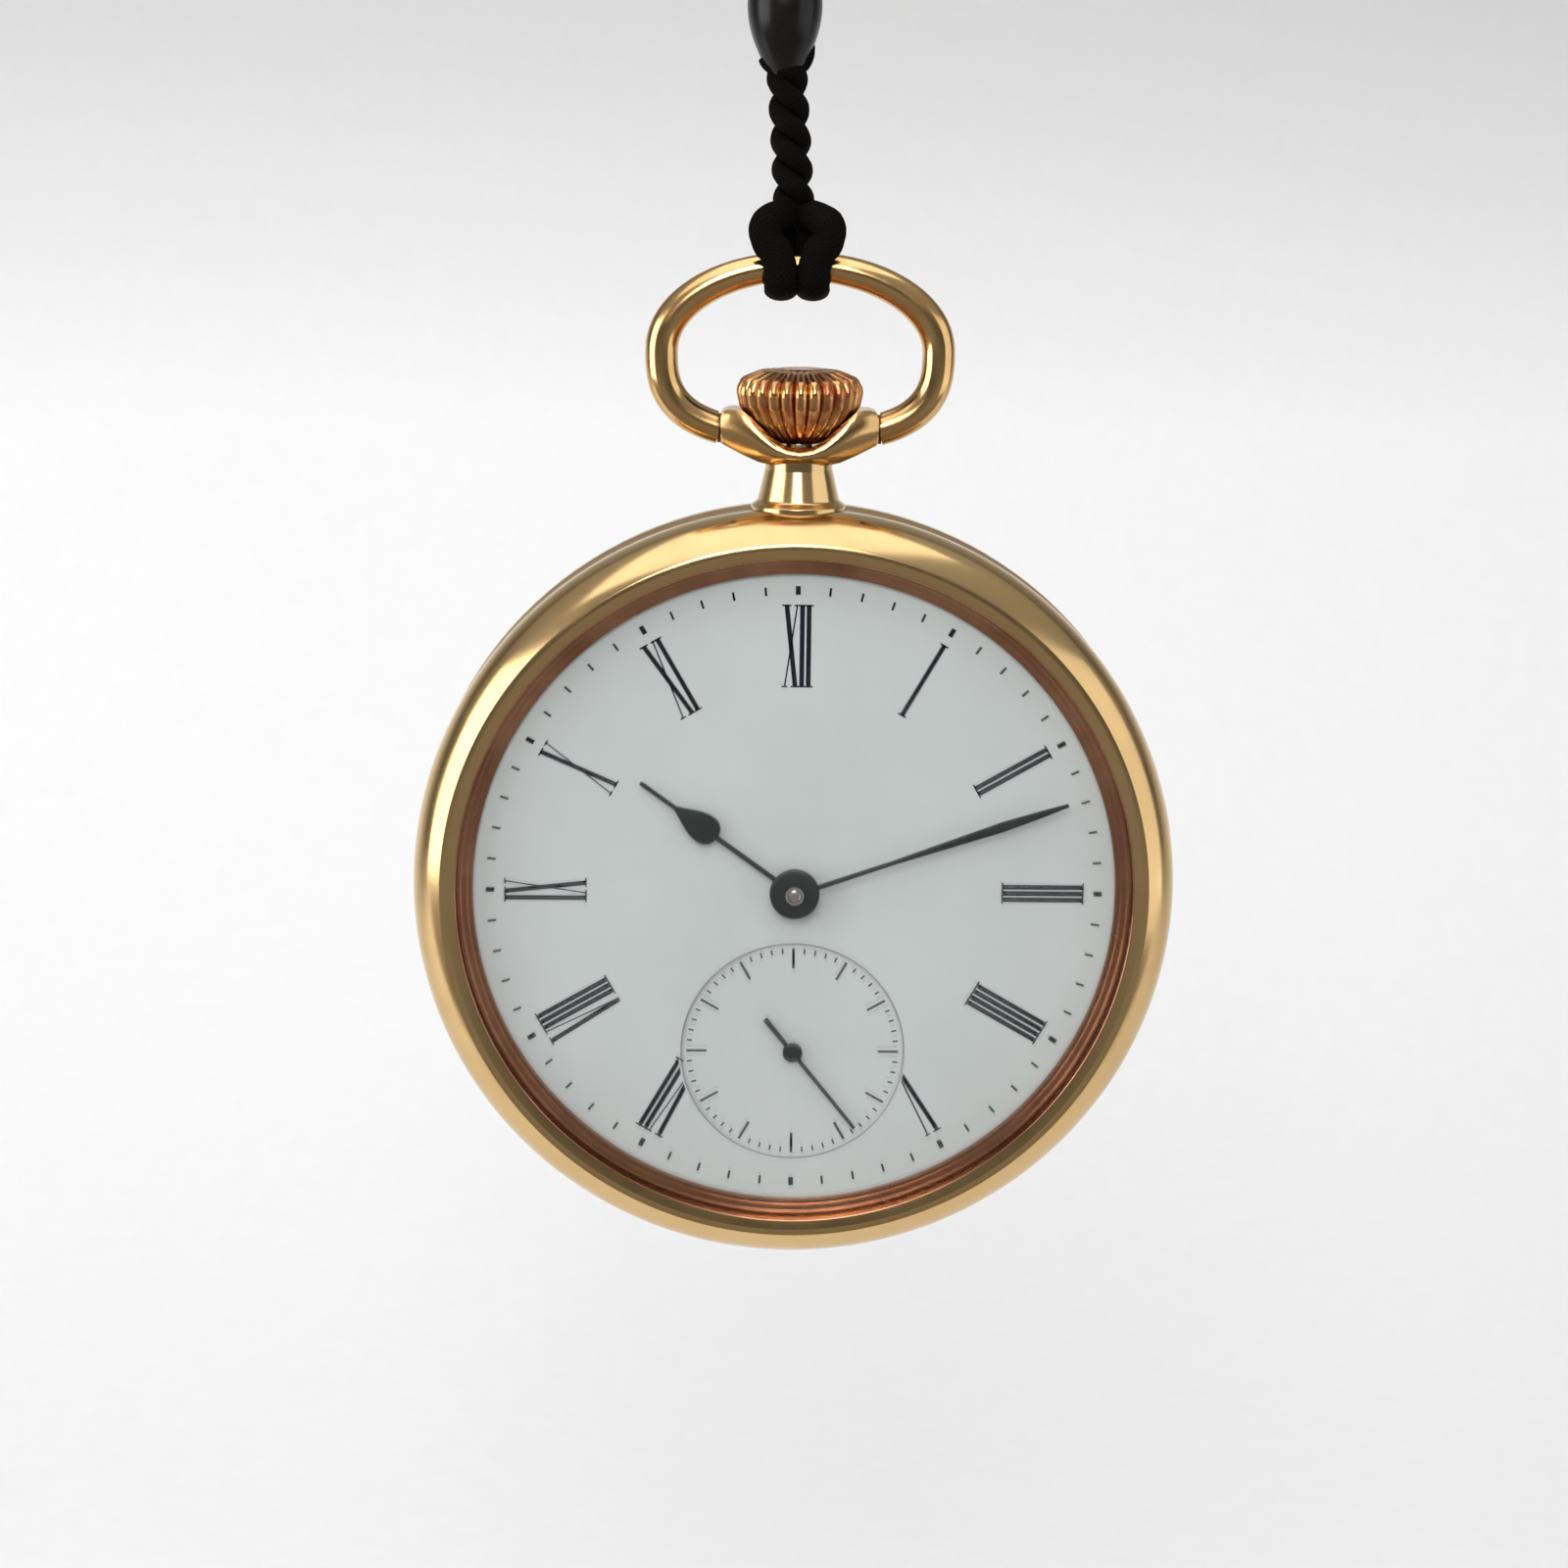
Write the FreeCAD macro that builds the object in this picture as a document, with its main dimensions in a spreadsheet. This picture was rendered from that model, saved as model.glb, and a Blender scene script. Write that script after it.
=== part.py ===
"""Open face pocket watch on a looped cord, built as separate pieces.

Every piece is drawn in the watch's own frame: x to the right, y towards twelve, z out of the
dial, with z = 0 on the dial's face. The part's frame stands the watch up: z becomes -Y, y
becomes +Z, and the origin is the inside top of the cord's loop.
"""
import FreeCAD, Part
import math
import os

import Sketcher
from FreeCAD import Placement, Rotation, Vector

doc = FreeCAD.newDocument("pocket_watch")

# ---------------------------------------------------------------- driving dimensions, in mm
sizes = {
    # frame: the loop's inside top above the dial's centre, and the level of the winding stem
    "hang_drop": 64.0, "stem_level": -2.7,
    # case
    "case_radius": 22.25, "case_bulge": 3.77, "seam_front": -1.9, "seam_rear": -4.6,
    "movement_bore": 18.4, "dial_seat": 19.0, "dial_back": -0.45, "lip_top": -0.05,
    "bezel_seat": 20.45, "cover_seat": 20.45, "lip_rear": -5.2, "movement_stop": -4.9,
    "snap_gap": 0.15, "seam_gap": 0.02,
    "roll_top": 1.6, "roll_inner": 20.3, "roll_bend": 2.62, "roll_lip": 19.85,
    "glass_rim": 19.75, "glass_seat": 0.76, "step_height": 0.2, "step_width": 0.33,
    "bezel_opening": 18.7, "bezel_floor": 0.08,
    "glass_edge": 0.48, "glass_rise": 1.2, "glass_thick": 0.75, "glass_land": 19.35,
    "dome_flat": 1.0,
    "cover_edge": -5.3, "cover_turn": 20.6, "cover_turn_level": -6.45, "cover_bend": 1.9,
    "cover_back": -7.1, "cover_thick": 0.45, "cover_rim_level": -5.95,
    "hinge_radius": 0.52, "hinge_offset": 21.9, "hinge_level": -5.14, "hinge_pin": 0.22,
    "knuckle_length": 1.5, "knuckle_gap": 0.06,
    # pendant, crown and bow
    "stem_bore": 0.85, "neck_foot": 22.44, "neck_wide": 3.0, "neck_root": 2.75,
    "neck_narrow": 2.15, "neck_top": 24.65, "saddle_floor": 25.3, "saddle_top": 27.78,
    "ear_outer": 4.55, "ear_inner": 3.64, "ear_radius": 1.12, "ear_level": 26.66,
    "saddle_hollow": 3.92, "saddle_depth": 2.25, "saddle_swell": 6.8,
    "bow_pin": 0.45, "bow_pin_gap": 0.04, "bow_pin_length": 0.85, "bow_gap": 0.08,
    "bow_wide": 7.92, "bow_tall": 4.8, "bow_centre": 31.1, "bow_end_radius": 0.9,
    "bow_side_radius": 0.94, "bow_top_radius": 0.8,
    "crown_foot": 26.15, "crown_foot_radius": 0.8, "crown_shoulder": 27.1,
    "crown_shoulder_radius": 2.55, "crown_radius": 3.65, "crown_waist": 28.85,
    "crown_top": 30.0, "crown_cap": 1.3, "crown_cap_top": 30.15, "rib_depth": 0.32,
    "rib_width": 0.5, "rib_count": 26,
    "stem_radius": 0.75, "stem_square": 0.94, "stem_tip": 8.0, "stem_pilot": 0.22,
    "stem_groove": 0.42, "groove_low": 14.93, "groove_high": 15.67,
    # cord and bead
    "cord_radius": 0.7, "bead_radius": 2.15, "bead_end": 0.7, "bead_foot": 45.8,
    "bead_waist": 50.3, "bead_top": 53.8, "bead_lower_bend": 7.71, "bead_upper_bend": 4.95,
    "bead_bore": 0.5, "bead_shift": -1.1,
    # dial and hands
    "dial_radius": 18.9, "dial_hole": 1.3, "seconds_offset": 9.7, "seconds_opening": 6.6,
    "seconds_floor": -0.12, "seconds_hole": 0.35,
    "hand_thick": 0.12, "hour_level": 0.4, "minute_level": 0.8, "seconds_level": 0.15,
    "hub_radius": 1.45, "hour_reach": 11.1, "minute_reach": 16.7, "seconds_reach": 5.95,
    "seconds_tail": 2.6, "seconds_hub": 0.58,
    # movement: plate, bridges
    "plate_radius": 18.3, "plate_back": -2.4, "bridge_low": -3.95, "bridge_back": -4.5,
    "train_back": -4.75, "cock_low": -4.45, "cock_back": -4.95,
    "jewel_radius": 0.62, "jewel_hole": 0.14, "pivot": 0.12,
    "arbor": 0.3,
    # places of the arbors
    "barrel_x": 6.113, "barrel_y": 5.129, "third_x": 3.354, "third_y": -5.858,
    "escape_x": -4.84, "pallet_x": -6.961, "pallet_y": -8.102, "balance_x": -10.08,
    "balance_y": -5.75, "crown_wheel_y": 10.743, "minute_wheel_y": 3.0,
    "setting_wheel_y": 7.75, "cock_foot_x": -9.6, "cock_foot_y": -13.2,
}



def dome_radius(rim, rise):
    """The radius of a dome that is flat out to dome_flat, and then falls by rise to its rim."""
    flat = sizes["dome_flat"]
    height = (rim ** 2 + rise ** 2 - flat ** 2) / (2 * rise)
    return math.hypot(flat, height)


sizes["glass_bend"] = dome_radius(sizes["glass_rim"], sizes["glass_rise"])
sizes["glass_under_bend"] = dome_radius(
    sizes["glass_land"], sizes["glass_edge"] + sizes["glass_rise"] - sizes["glass_thick"])
sizes["cover_dome"] = dome_radius(sizes["cover_turn"],
                                  sizes["cover_turn_level"] - sizes["cover_back"])
sizes["cover_under_dome"] = dome_radius(
    sizes["cover_turn"],
    sizes["cover_rim_level"] - sizes["cover_back"] - sizes["cover_thick"])

sheet = doc.addObject("Spreadsheet::Sheet", "Sizes")
for row, (word, size) in enumerate(sizes.items(), start=1):
    sheet.set("A%d" % row, word)
    sheet.set("B%d" % row, str(size))
    sheet.setAlias("B%d" % row, word)
doc.recompute()


# ---------------------------------------------------------------- formulas
# A formula is a sum of terms, such as "case_radius - 2*snap_gap": each term is a product of
# names from the sheet and plain numbers.
def factor(word):
    return sizes[word] if word in sizes else float(word)


def number(formula):
    """The formula's value, used for a first guess and for Part's own functions."""
    total = 0.0
    sign = 1.0
    for word in str(formula).split():
        if word in ("+", "-"):
            sign = -1.0 if word == "-" else 1.0
        else:
            total += sign * math.prod(factor(part) for part in word.split("*"))
            sign = 1.0
    return total


def cells(formula):
    """The same formula as an expression on the sheet."""
    words = []
    for word in str(formula).split():
        parts = ["Sizes." + part if part in sizes else part for part in word.split("*")]
        words.append("*".join(parts))
    return " ".join(words)


def bind(thing, prop, formula):
    thing.setExpression(prop, cells(formula))


# ---------------------------------------------------------------- pieces and sketches
stand_up = Rotation(Vector(1, 0, 0), 90)
pieces = []


def place(piece, x="0", y="0", turn=0.0):
    """Stands the piece up at (x, y) on the dial plan, turned about the arbor's own axis."""
    piece.Placement = Placement(Vector(0, 0, 0), stand_up * Rotation(Vector(0, 0, 1), turn))
    bind(piece, "Placement.Base.x", x)
    bind(piece, "Placement.Base.y", "stem_level")
    bind(piece, "Placement.Base.z", y + " - hang_drop")


def keep(piece, label, x="0", y="0", turn=0.0):
    piece.Label = label
    place(piece, x, y, turn)
    pieces.append(piece)
    return piece


def new_body(label, x="0", y="0", turn=0.0):
    return keep(doc.addObject("PartDesign::Body", label + "_body"), label, x, y, turn)


def loose_body(label):
    """A body that is only one operand of a boolean."""
    body = doc.addObject("PartDesign::Body", label)
    return body


def new_sketch(body, plane="XY_Plane", level="0", across="0", up="0"):
    roles = {feature.Role: feature for feature in body.Origin.OriginFeatures}
    sketch = body.newObject("Sketcher::SketchObject", body.Name + "_sketch")
    sketch.AttachmentSupport = (roles[plane], [""])
    sketch.MapMode = "FlatFace"
    bind(sketch, "AttachmentOffset.Base.x", across)
    bind(sketch, "AttachmentOffset.Base.y", up)
    bind(sketch, "AttachmentOffset.Base.z", level)
    return sketch


def fix_point(sketch, edge, end, x, y):
    for kind, formula in (("DistanceX", x), ("DistanceY", y)):
        rule = Sketcher.Constraint(kind, -1, 1, edge, end, number(formula))
        index = sketch.addConstraint(rule)
        bind(sketch, "Constraints[%d]" % index, formula)


def fix_radius(sketch, edge, radius):
    index = sketch.addConstraint(Sketcher.Constraint("Radius", edge, abs(number(radius))))
    bind(sketch, "Constraints[%d]" % index, radius)


def circle(sketch, radius, x="0", y="0"):
    centre = Vector(number(x), number(y), 0)
    edge = sketch.addGeometry(Part.Circle(centre, Vector(0, 0, 1), number(radius)))
    fix_point(sketch, edge, 3, x, y)
    fix_radius(sketch, edge, radius)


def arc_between(start, stop, radius, clockwise):
    """The short arc from start to stop, as the sketcher keeps it: counterclockwise."""
    first, last = (stop, start) if clockwise else (start, stop)
    chord = last - first
    height = math.sqrt(max(radius ** 2 - (chord.Length / 2) ** 2, 0))
    left = Vector(-chord.y, chord.x, 0).normalize()
    centre = (first + last) / 2 + left * height
    angles = [math.atan2(end.y - centre.y, end.x - centre.x) for end in (first, last)]
    if angles[1] < angles[0]:
        angles[1] += 2 * math.pi
    return Part.ArcOfCircle(Part.Circle(centre, Vector(0, 0, 1), radius), *angles)


def outline(sketch, corners):
    """A closed outline of corners (x, y). A third and fourth entry, (radius, "left" or
    "right"), make the edge to the next corner an arc that curves to that side."""
    points = [Vector(number(corner[0]), number(corner[1]), 0) for corner in corners]
    edges = []
    for index, corner in enumerate(corners):
        start, stop = points[index], points[(index + 1) % len(points)]
        if len(corner) == 2:
            edges.append((sketch.addGeometry(Part.LineSegment(start, stop)), 1, 2))
        else:
            clockwise = corner[3] == "right"
            arc = sketch.addGeometry(arc_between(start, stop, number(corner[2]), clockwise))
            ends = (2, 1) if clockwise else (1, 2)
            edges.append((arc,) + ends)
    for index, corner in enumerate(corners):
        edge, start, _ = edges[index]
        before, _, stop = edges[index - 1]
        sketch.addConstraint(Sketcher.Constraint("Coincident", before, stop, edge, start))
        fix_point(sketch, edge, start, corner[0], corner[1])
        if len(corner) == 4:
            fix_radius(sketch, edge, corner[2])


def turn_profile(body, corners, plane="XZ_Plane", across="V_Axis", level="0", cut=False):
    """Turns an outline about its sketch's own axis: (radius, level) for the upright axis."""
    sketch = new_sketch(body, plane, level)
    outline(sketch, corners)
    kind = "PartDesign::Groove" if cut else "PartDesign::Revolution"
    feature = body.newObject(kind, body.Name + "_turn")
    feature.Profile = sketch
    feature.ReferenceAxis = (sketch, [across])
    feature.Angle = 360
    body.Tip = feature
    return feature


def raise_sketch(body, sketch, height, middle=False):
    feature = body.newObject("PartDesign::Pad", body.Name + "_pad")
    feature.Profile = sketch
    feature.Midplane = middle
    bind(feature, "Length", height)
    body.Tip = feature
    return feature


def sink_sketch(body, sketch, depth, middle=False):
    feature = body.newObject("PartDesign::Pocket", body.Name + "_pocket")
    feature.Profile = sketch
    feature.Midplane = middle
    bind(feature, "Length", depth)
    body.Tip = feature
    return feature


def disc(body, radius, low, height, x="0", y="0", bore=None):
    sketch = new_sketch(body, level=low)
    circle(sketch, radius, x, y)
    if bore:
        circle(sketch, bore, x, y)
    return raise_sketch(body, sketch, height)


def holes(body, top, depth, places):
    """Sinks round holes (x, y, radius) from the level top downwards."""
    sketch = new_sketch(body, level=top)
    for x, y, radius in places:
        circle(sketch, radius, x, y)
    return sink_sketch(body, sketch, depth)


def plate(body, corners, low, height):
    sketch = new_sketch(body, level=low)
    outline(sketch, corners)
    return raise_sketch(body, sketch, height)


def recess(body, corners, top, depth):
    sketch = new_sketch(body, level=top)
    outline(sketch, corners)
    return sink_sketch(body, sketch, depth)


def rectangle(left, right, low, high):
    return [(left, low), (right, low), (right, high), (left, high)]


def ring_of(body, feature, count, plane_axis="Z_Axis"):
    roles = {origin.Role: origin for origin in body.Origin.OriginFeatures}
    pattern = body.newObject("PartDesign::PolarPattern", body.Name + "_pattern")
    pattern.Originals = [feature]
    pattern.Axis = (roles[plane_axis], [""])
    pattern.Angle = 360
    pattern.Occurrences = count
    body.Tip = pattern
    return pattern


def cylinder(name, radius, low, height, x="0", y="0"):
    solid = doc.addObject("Part::Cylinder", name)
    bind(solid, "Radius", radius)
    bind(solid, "Height", height)
    bind(solid, "Placement.Base.x", x)
    bind(solid, "Placement.Base.y", y)
    bind(solid, "Placement.Base.z", low)
    return solid


def block(name, length, width, height, x, y, z):
    """A box by its sizes along x, y and z, and its lowest corner."""
    solid = doc.addObject("Part::Box", name)
    for prop, formula in (("Length", length), ("Width", width), ("Height", height)):
        bind(solid, prop, formula)
    for prop, formula in (("x", x), ("y", y), ("z", z)):
        bind(solid, "Placement.Base." + prop, formula)
    return solid


def rod_along_x(name, radius, length, left, y, z):
    solid = doc.addObject("Part::Cylinder", name)
    solid.Placement = Placement(Vector(0, 0, 0), Rotation(Vector(0, 1, 0), 90))
    bind(solid, "Radius", radius)
    bind(solid, "Height", length)
    for prop, formula in (("x", left), ("y", y), ("z", z)):
        bind(solid, "Placement.Base." + prop, formula)
    return solid


def rod_along_y(name, radius, length, x, low, z):
    solid = doc.addObject("Part::Cylinder", name)
    solid.Placement = Placement(Vector(0, 0, 0), Rotation(Vector(1, 0, 0), -90))
    bind(solid, "Radius", radius)
    bind(solid, "Height", length)
    for prop, formula in (("x", x), ("y", low), ("z", z)):
        bind(solid, "Placement.Base." + prop, formula)
    return solid


def cut(name, base, tool):
    feature = doc.addObject("Part::Cut", name)
    feature.Base = base
    feature.Tool = tool
    return feature


def fuse(name, shapes):
    feature = doc.addObject("Part::MultiFuse", name)
    feature.Shapes = shapes
    return feature


def common(name, base, tool):
    feature = doc.addObject("Part::Common", name)
    feature.Base = base
    feature.Tool = tool
    return feature


def group(name, solids):
    feature = doc.addObject("Part::Compound", name)
    feature.Links = solids
    return feature


# ---------------------------------------------------------------- gears
# Each gear is [teeth, module, x, y]. A tooth is a trapezium with some backlash.
gears = {
    "barrel": [72, 0.19, "barrel_x", "barrel_y"],
    "centre_pinion": [12, 0.19, "0", "0"],
    "centre": [80, 0.15, "0", "0"],
    "third_pinion": [10, 0.15, "third_x", "third_y"],
    "third": [75, 0.12, "third_x", "third_y"],
    "fourth_pinion": [10, 0.12, "0", "0 - seconds_offset"],
    "fourth": [80, 0.11, "0", "0 - seconds_offset"],
    "escape_pinion": [8, 0.11, "escape_x", "0 - seconds_offset"],
    "cannon": [12, 0.125, "0", "0"],
    "minute": [36, 0.125, "0", "minute_wheel_y"],
    "minute_pinion": [10, 0.12, "0", "minute_wheel_y"],
    "hour": [40, 0.12, "0", "0"],
    "setting": [40, 0.125, "0", "setting_wheel_y"],
    "crown_wheel": [30, 0.2, "0", "crown_wheel_y"],
    "ratchet": [53, 0.2, "barrel_x", "barrel_y"],
    "winding_pinion": [18, 0.2, "0", "0"],
}


def direction(first, second):
    a, b = gears[first], gears[second]
    across = number(b[2]) - number(a[2])
    up = number(b[3]) - number(a[3])
    return math.degrees(math.atan2(up, across))


def meshing_turn(driver, driver_turn, driven):
    """The driven gear's turn that puts one of its gaps on the driver's tooth: the driver is
    some part of a pitch past a tooth on the line of centres, and the driven gear takes the
    same part the other way, plus half a pitch."""
    line = direction(driver, driven)
    pitch = 360 / gears[driver][0]
    past = ((line - driver_turn) / pitch) % 1.0
    return (line + 180 + (past + 0.5) * 360 / gears[driven][0]) % 360


def tooth_corners(gear, first_radius):
    teeth, module = gears[gear][:2]
    pitch = teeth * module / 2
    quarter = math.pi * module / 4
    tip = pitch + 0.9 * module
    root, widths = first_radius, (0.98 * quarter, 0.82 * quarter, 0.34 * quarter)
    corners = [(root, -widths[0]), (pitch, -widths[1]), (tip, -widths[2])]
    corners += [(x, -y) for x, y in reversed(corners)]
    return [("%.5f" % x, "%.5f" % y if y >= 0 else "0 - %.5f" % -y) for x, y in corners]


def toothed_ring(body, gear, low, height, bore=None):
    """A ring up to the teeth's root, and its teeth."""
    teeth, module = gears[gear][:2]
    root = teeth * module / 2 - 1.15 * module
    disc(body, "%.5f" % root, low, height, bore=bore)
    tooth = plate(body, tooth_corners(gear, root - 0.1 * module), low, height)
    ring_of(body, tooth, teeth)


def spoked_wheel(body, gear, low, height, hub, spoke, count=5, rim=0.5):
    teeth, module = gears[gear][:2]
    root = teeth * module / 2 - 1.15 * module
    inner = root - rim
    disc(body, hub, low, height)
    arm = plate(body, rectangle("0.2", "%.5f + 0.1" % inner, "0 - 0.5*" + spoke,
                                "0.5*" + spoke), low, height)
    ring_of(body, arm, count)
    toothed_ring(body, gear, low, height, bore="%.5f" % inner)


# ---------------------------------------------------------------- case
def make_band():
    """The middle of the case: outer wall, dial seat, snap lips and the stem's hole."""
    band = loose_body("band_ring")
    turn_profile(band, [
        ("case_radius", "seam_rear"),
        ("case_radius", "seam_front", "case_bulge", "left"),
        ("bezel_seat", "seam_front"), ("bezel_seat", "lip_top"),
        ("dial_seat", "lip_top"), ("dial_seat", "dial_back"),
        ("movement_bore", "dial_back"), ("movement_bore", "movement_stop"),
        ("cover_seat - 0.8", "movement_stop"), ("cover_seat - 0.8", "lip_rear"),
        ("cover_seat", "lip_rear"), ("cover_seat", "seam_rear")][::-1])
    knuckles = [rod_along_x("band_knuckle_%d" % side, "hinge_radius", "knuckle_length",
                            start, "0 - hinge_offset", "hinge_level")
                for side, start in enumerate(
                    ["-2.5*knuckle_length - 2*knuckle_gap", "-0.5*knuckle_length",
                     "1.5*knuckle_length + 2*knuckle_gap"])]
    feet = [block("band_foot_%d" % side, "knuckle_length", "0.5", "0.6", start,
                  "0 - hinge_offset + 0.1", "seam_rear - 0.55")
            for side, start in enumerate(
                ["-2.5*knuckle_length - 2*knuckle_gap", "-0.5*knuckle_length",
                 "1.5*knuckle_length + 2*knuckle_gap"])]
    solid = fuse("band_solid", [band] + knuckles + feet)
    bore = rod_along_y("band_stem_bore", "stem_bore", "6", "0", "17.5", "stem_level")
    pin_bore = rod_along_x("band_pin_bore", "hinge_pin", "5*knuckle_length + 1",
                           "-2.5*knuckle_length - 0.5", "0 - hinge_offset", "hinge_level")
    keep(cut("band_cut", solid, fuse("band_tools", [bore, pin_bore])), "case_band")


def make_bezel():
    """The rolled bezel, with the fine steps that lead down to the dial."""
    bezel = new_body("bezel")
    steps = []
    for step in range(3):
        out = "bezel_opening + %d*step_width" % step
        steps.append((out, "bezel_floor + %d*step_height" % step))
        steps.append((out, "bezel_floor + %d*step_height" % (step + 1)))
    turn_profile(bezel, [
        ("bezel_seat + snap_gap", "seam_front + seam_gap"),
        ("case_radius", "seam_front + seam_gap", "roll_bend", "left"),
        ("roll_inner", "roll_top"), ("roll_lip", "roll_top - 0.12"),
        ("glass_rim + 0.02", "glass_seat + glass_edge"),
        ("glass_rim + 0.02", "glass_seat - 0.03"),
        ("bezel_opening + 2*step_width", "glass_seat - 0.03")] + steps[:5][::-1] + [
        ("bezel_seat + snap_gap", "bezel_floor")])


def make_crystal():
    """The domed glass."""
    crystal = new_body("crystal")
    turn_profile(crystal, [
        ("0", "glass_seat + glass_edge + glass_rise - glass_thick"),
        ("0", "glass_seat + glass_edge + glass_rise"),
        ("dome_flat", "glass_seat + glass_edge + glass_rise", "glass_bend", "right"),
        ("glass_rim", "glass_seat + glass_edge"), ("glass_rim", "glass_seat"),
        ("glass_land", "glass_seat", "glass_under_bend", "left"),
        ("dome_flat", "glass_seat + glass_edge + glass_rise - glass_thick")])


def make_rear_cover():
    """The domed back, with its rim and the two knuckles that sit between the band's."""
    cover = loose_body("cover_shell")
    turn_profile(cover, [
        ("0", "cover_back"), ("0", "cover_back + cover_thick"),
        ("dome_flat", "cover_back + cover_thick", "cover_under_dome", "left"),
        ("cover_turn", "cover_rim_level"), ("cover_turn", "seam_rear - seam_gap"),
        ("case_radius", "seam_rear - seam_gap"),
        ("case_radius", "cover_edge", "cover_bend", "right"),
        ("cover_turn", "cover_turn_level", "cover_dome", "right"),
        ("dome_flat", "cover_back")])
    notch = block("cover_notch", "5*knuckle_length + 1.2", "2", "1.3",
                  "-2.5*knuckle_length - 0.6", "0 - hinge_offset - 1.2", "hinge_level - 0.7")
    shell = cut("cover_notched", cover, notch)
    parts = [shell]
    for side, start in enumerate(["-1.5*knuckle_length - knuckle_gap",
                                  "0.5*knuckle_length + knuckle_gap"]):
        parts.append(rod_along_x("cover_knuckle_%d" % side, "hinge_radius", "knuckle_length",
                                 start, "0 - hinge_offset", "hinge_level"))
        parts.append(block("cover_foot_%d" % side, "knuckle_length", "1.0", "0.45", start,
                           "0 - hinge_offset", "hinge_level - 0.5"))
    bore = rod_along_x("cover_pin_bore", "hinge_pin + 0.03", "5*knuckle_length + 1",
                       "-2.5*knuckle_length - 0.5", "0 - hinge_offset", "hinge_level")
    keep(cut("cover_cut", fuse("cover_solid", parts), bore), "rear_cover")
    keep(rod_along_x("cover_pin", "hinge_pin", "5*knuckle_length + 4*knuckle_gap",
                     "0", "0", "0"), "cover_hinge_pin")


def make_pendant():
    """The neck and the saddle with its two ears, which hold the bow."""
    face = loose_body("saddle_face")
    sketch = new_sketch(face, level="stem_level")
    outline(sketch, [
        ("0 - ear_outer", "ear_level - ear_radius"),
        ("0 - neck_narrow", "neck_top - 0.1"), ("neck_narrow", "neck_top - 0.1"),
        ("ear_outer", "ear_level - ear_radius"), ("ear_outer", "saddle_top"),
        ("ear_inner", "saddle_top", "saddle_hollow", "right"),
        ("0", "saddle_floor", "saddle_hollow", "right"),
        ("0 - ear_inner", "saddle_top"), ("0 - ear_outer", "saddle_top")])
    raise_sketch(face, sketch, "3*saddle_depth", middle=True)
    swell = loose_body("saddle_swell_body")
    sketch = new_sketch(swell, level="stem_level", up="ear_level")
    outline(sketch, [
        ("0 - ear_outer", "0"), ("ear_outer", "0"),
        ("ear_outer", "ear_radius", "saddle_swell", "left"),
        ("0", "saddle_depth", "saddle_swell", "left"), ("0 - ear_outer", "ear_radius")])
    feature = swell.newObject("PartDesign::Revolution", "saddle_swell_turn")
    feature.Profile = sketch
    feature.ReferenceAxis = (sketch, ["H_Axis"])
    feature.Angle = 360
    swell.Tip = feature
    neck = loose_body("neck_turn_body")
    turn_profile(neck, [
        ("0", "neck_foot - 1.5"), ("neck_wide", "neck_foot - 1.5"),
        ("neck_wide", "neck_foot + 0.12"), ("neck_root", "neck_foot + 0.45"),
        ("neck_narrow", "neck_top"), ("neck_narrow - 0.7", "saddle_floor"),
        ("0", "saddle_floor")], plane="XY_Plane", level="stem_level")
    solid = fuse("pendant_solid", [common("saddle", face, swell), neck])
    tools = [cylinder("neck_seat", "neck_foot", "-8", "12"),
             rod_along_y("pendant_bore", "stem_bore", "8", "0", "20", "stem_level")]
    for side, start in (("left", "0 - ear_outer - 0.1"),
                        ("right", "ear_outer + 0.1 - bow_pin_length - 0.1")):
        tools.append(rod_along_x("ear_bore_" + side, "bow_pin + bow_pin_gap",
                                 "bow_pin_length + 0.1", start, "ear_level", "stem_level"))
    keep(cut("pendant_cut", solid, fuse("pendant_tools", tools)), "pendant")


def make_bow():
    """The oval bow of round wire, thinner at its top, with a pivot pin at each end."""
    level = number("stem_level")
    curve = Part.Ellipse(Vector(0, number("bow_centre"), level), number("bow_wide"),
                         number("bow_tall"))
    low = -math.acos(0.52)
    spine = Part.Wire([curve.toShape(low, math.pi - low)])
    pipe = Part.BRepOffsetAPI.MakePipeShell(spine)
    for share, word in ((0.0, "bow_end_radius"), (0.27, "bow_side_radius"),
                        (0.5, "bow_top_radius"), (0.73, "bow_side_radius"),
                        (1.0, "bow_end_radius")):
        angle = low + share * (math.pi - 2 * low)
        point = curve.value(angle)
        ring = Part.Circle(point, curve.tangent(angle)[0], number(word))
        pipe.add(Part.Wire([ring.toShape()]))
    pipe.build()
    pipe.makeSolid()
    wire = doc.addObject("Part::Feature", "bow_wire")
    wire.Shape = pipe.shape()
    clear = block("bow_clear", "2*ear_outer + 2*bow_gap", "3.8", "4",
                  "0 - ear_outer - bow_gap", "ear_level - 1.9", "stem_level - 2")
    trimmed = cut("bow_trimmed", wire, clear)
    pins = [rod_along_x("bow_pin_left", "bow_pin", "bow_pin_length + 0.9",
                        "0 - ear_outer - 0.95", "ear_level", "stem_level"),
            rod_along_x("bow_pin_right", "bow_pin", "bow_pin_length + 0.9",
                        "ear_outer + 0.05 - bow_pin_length", "ear_level", "stem_level")]
    keep(fuse("bow_solid", [trimmed] + pins), "bow")


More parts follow.
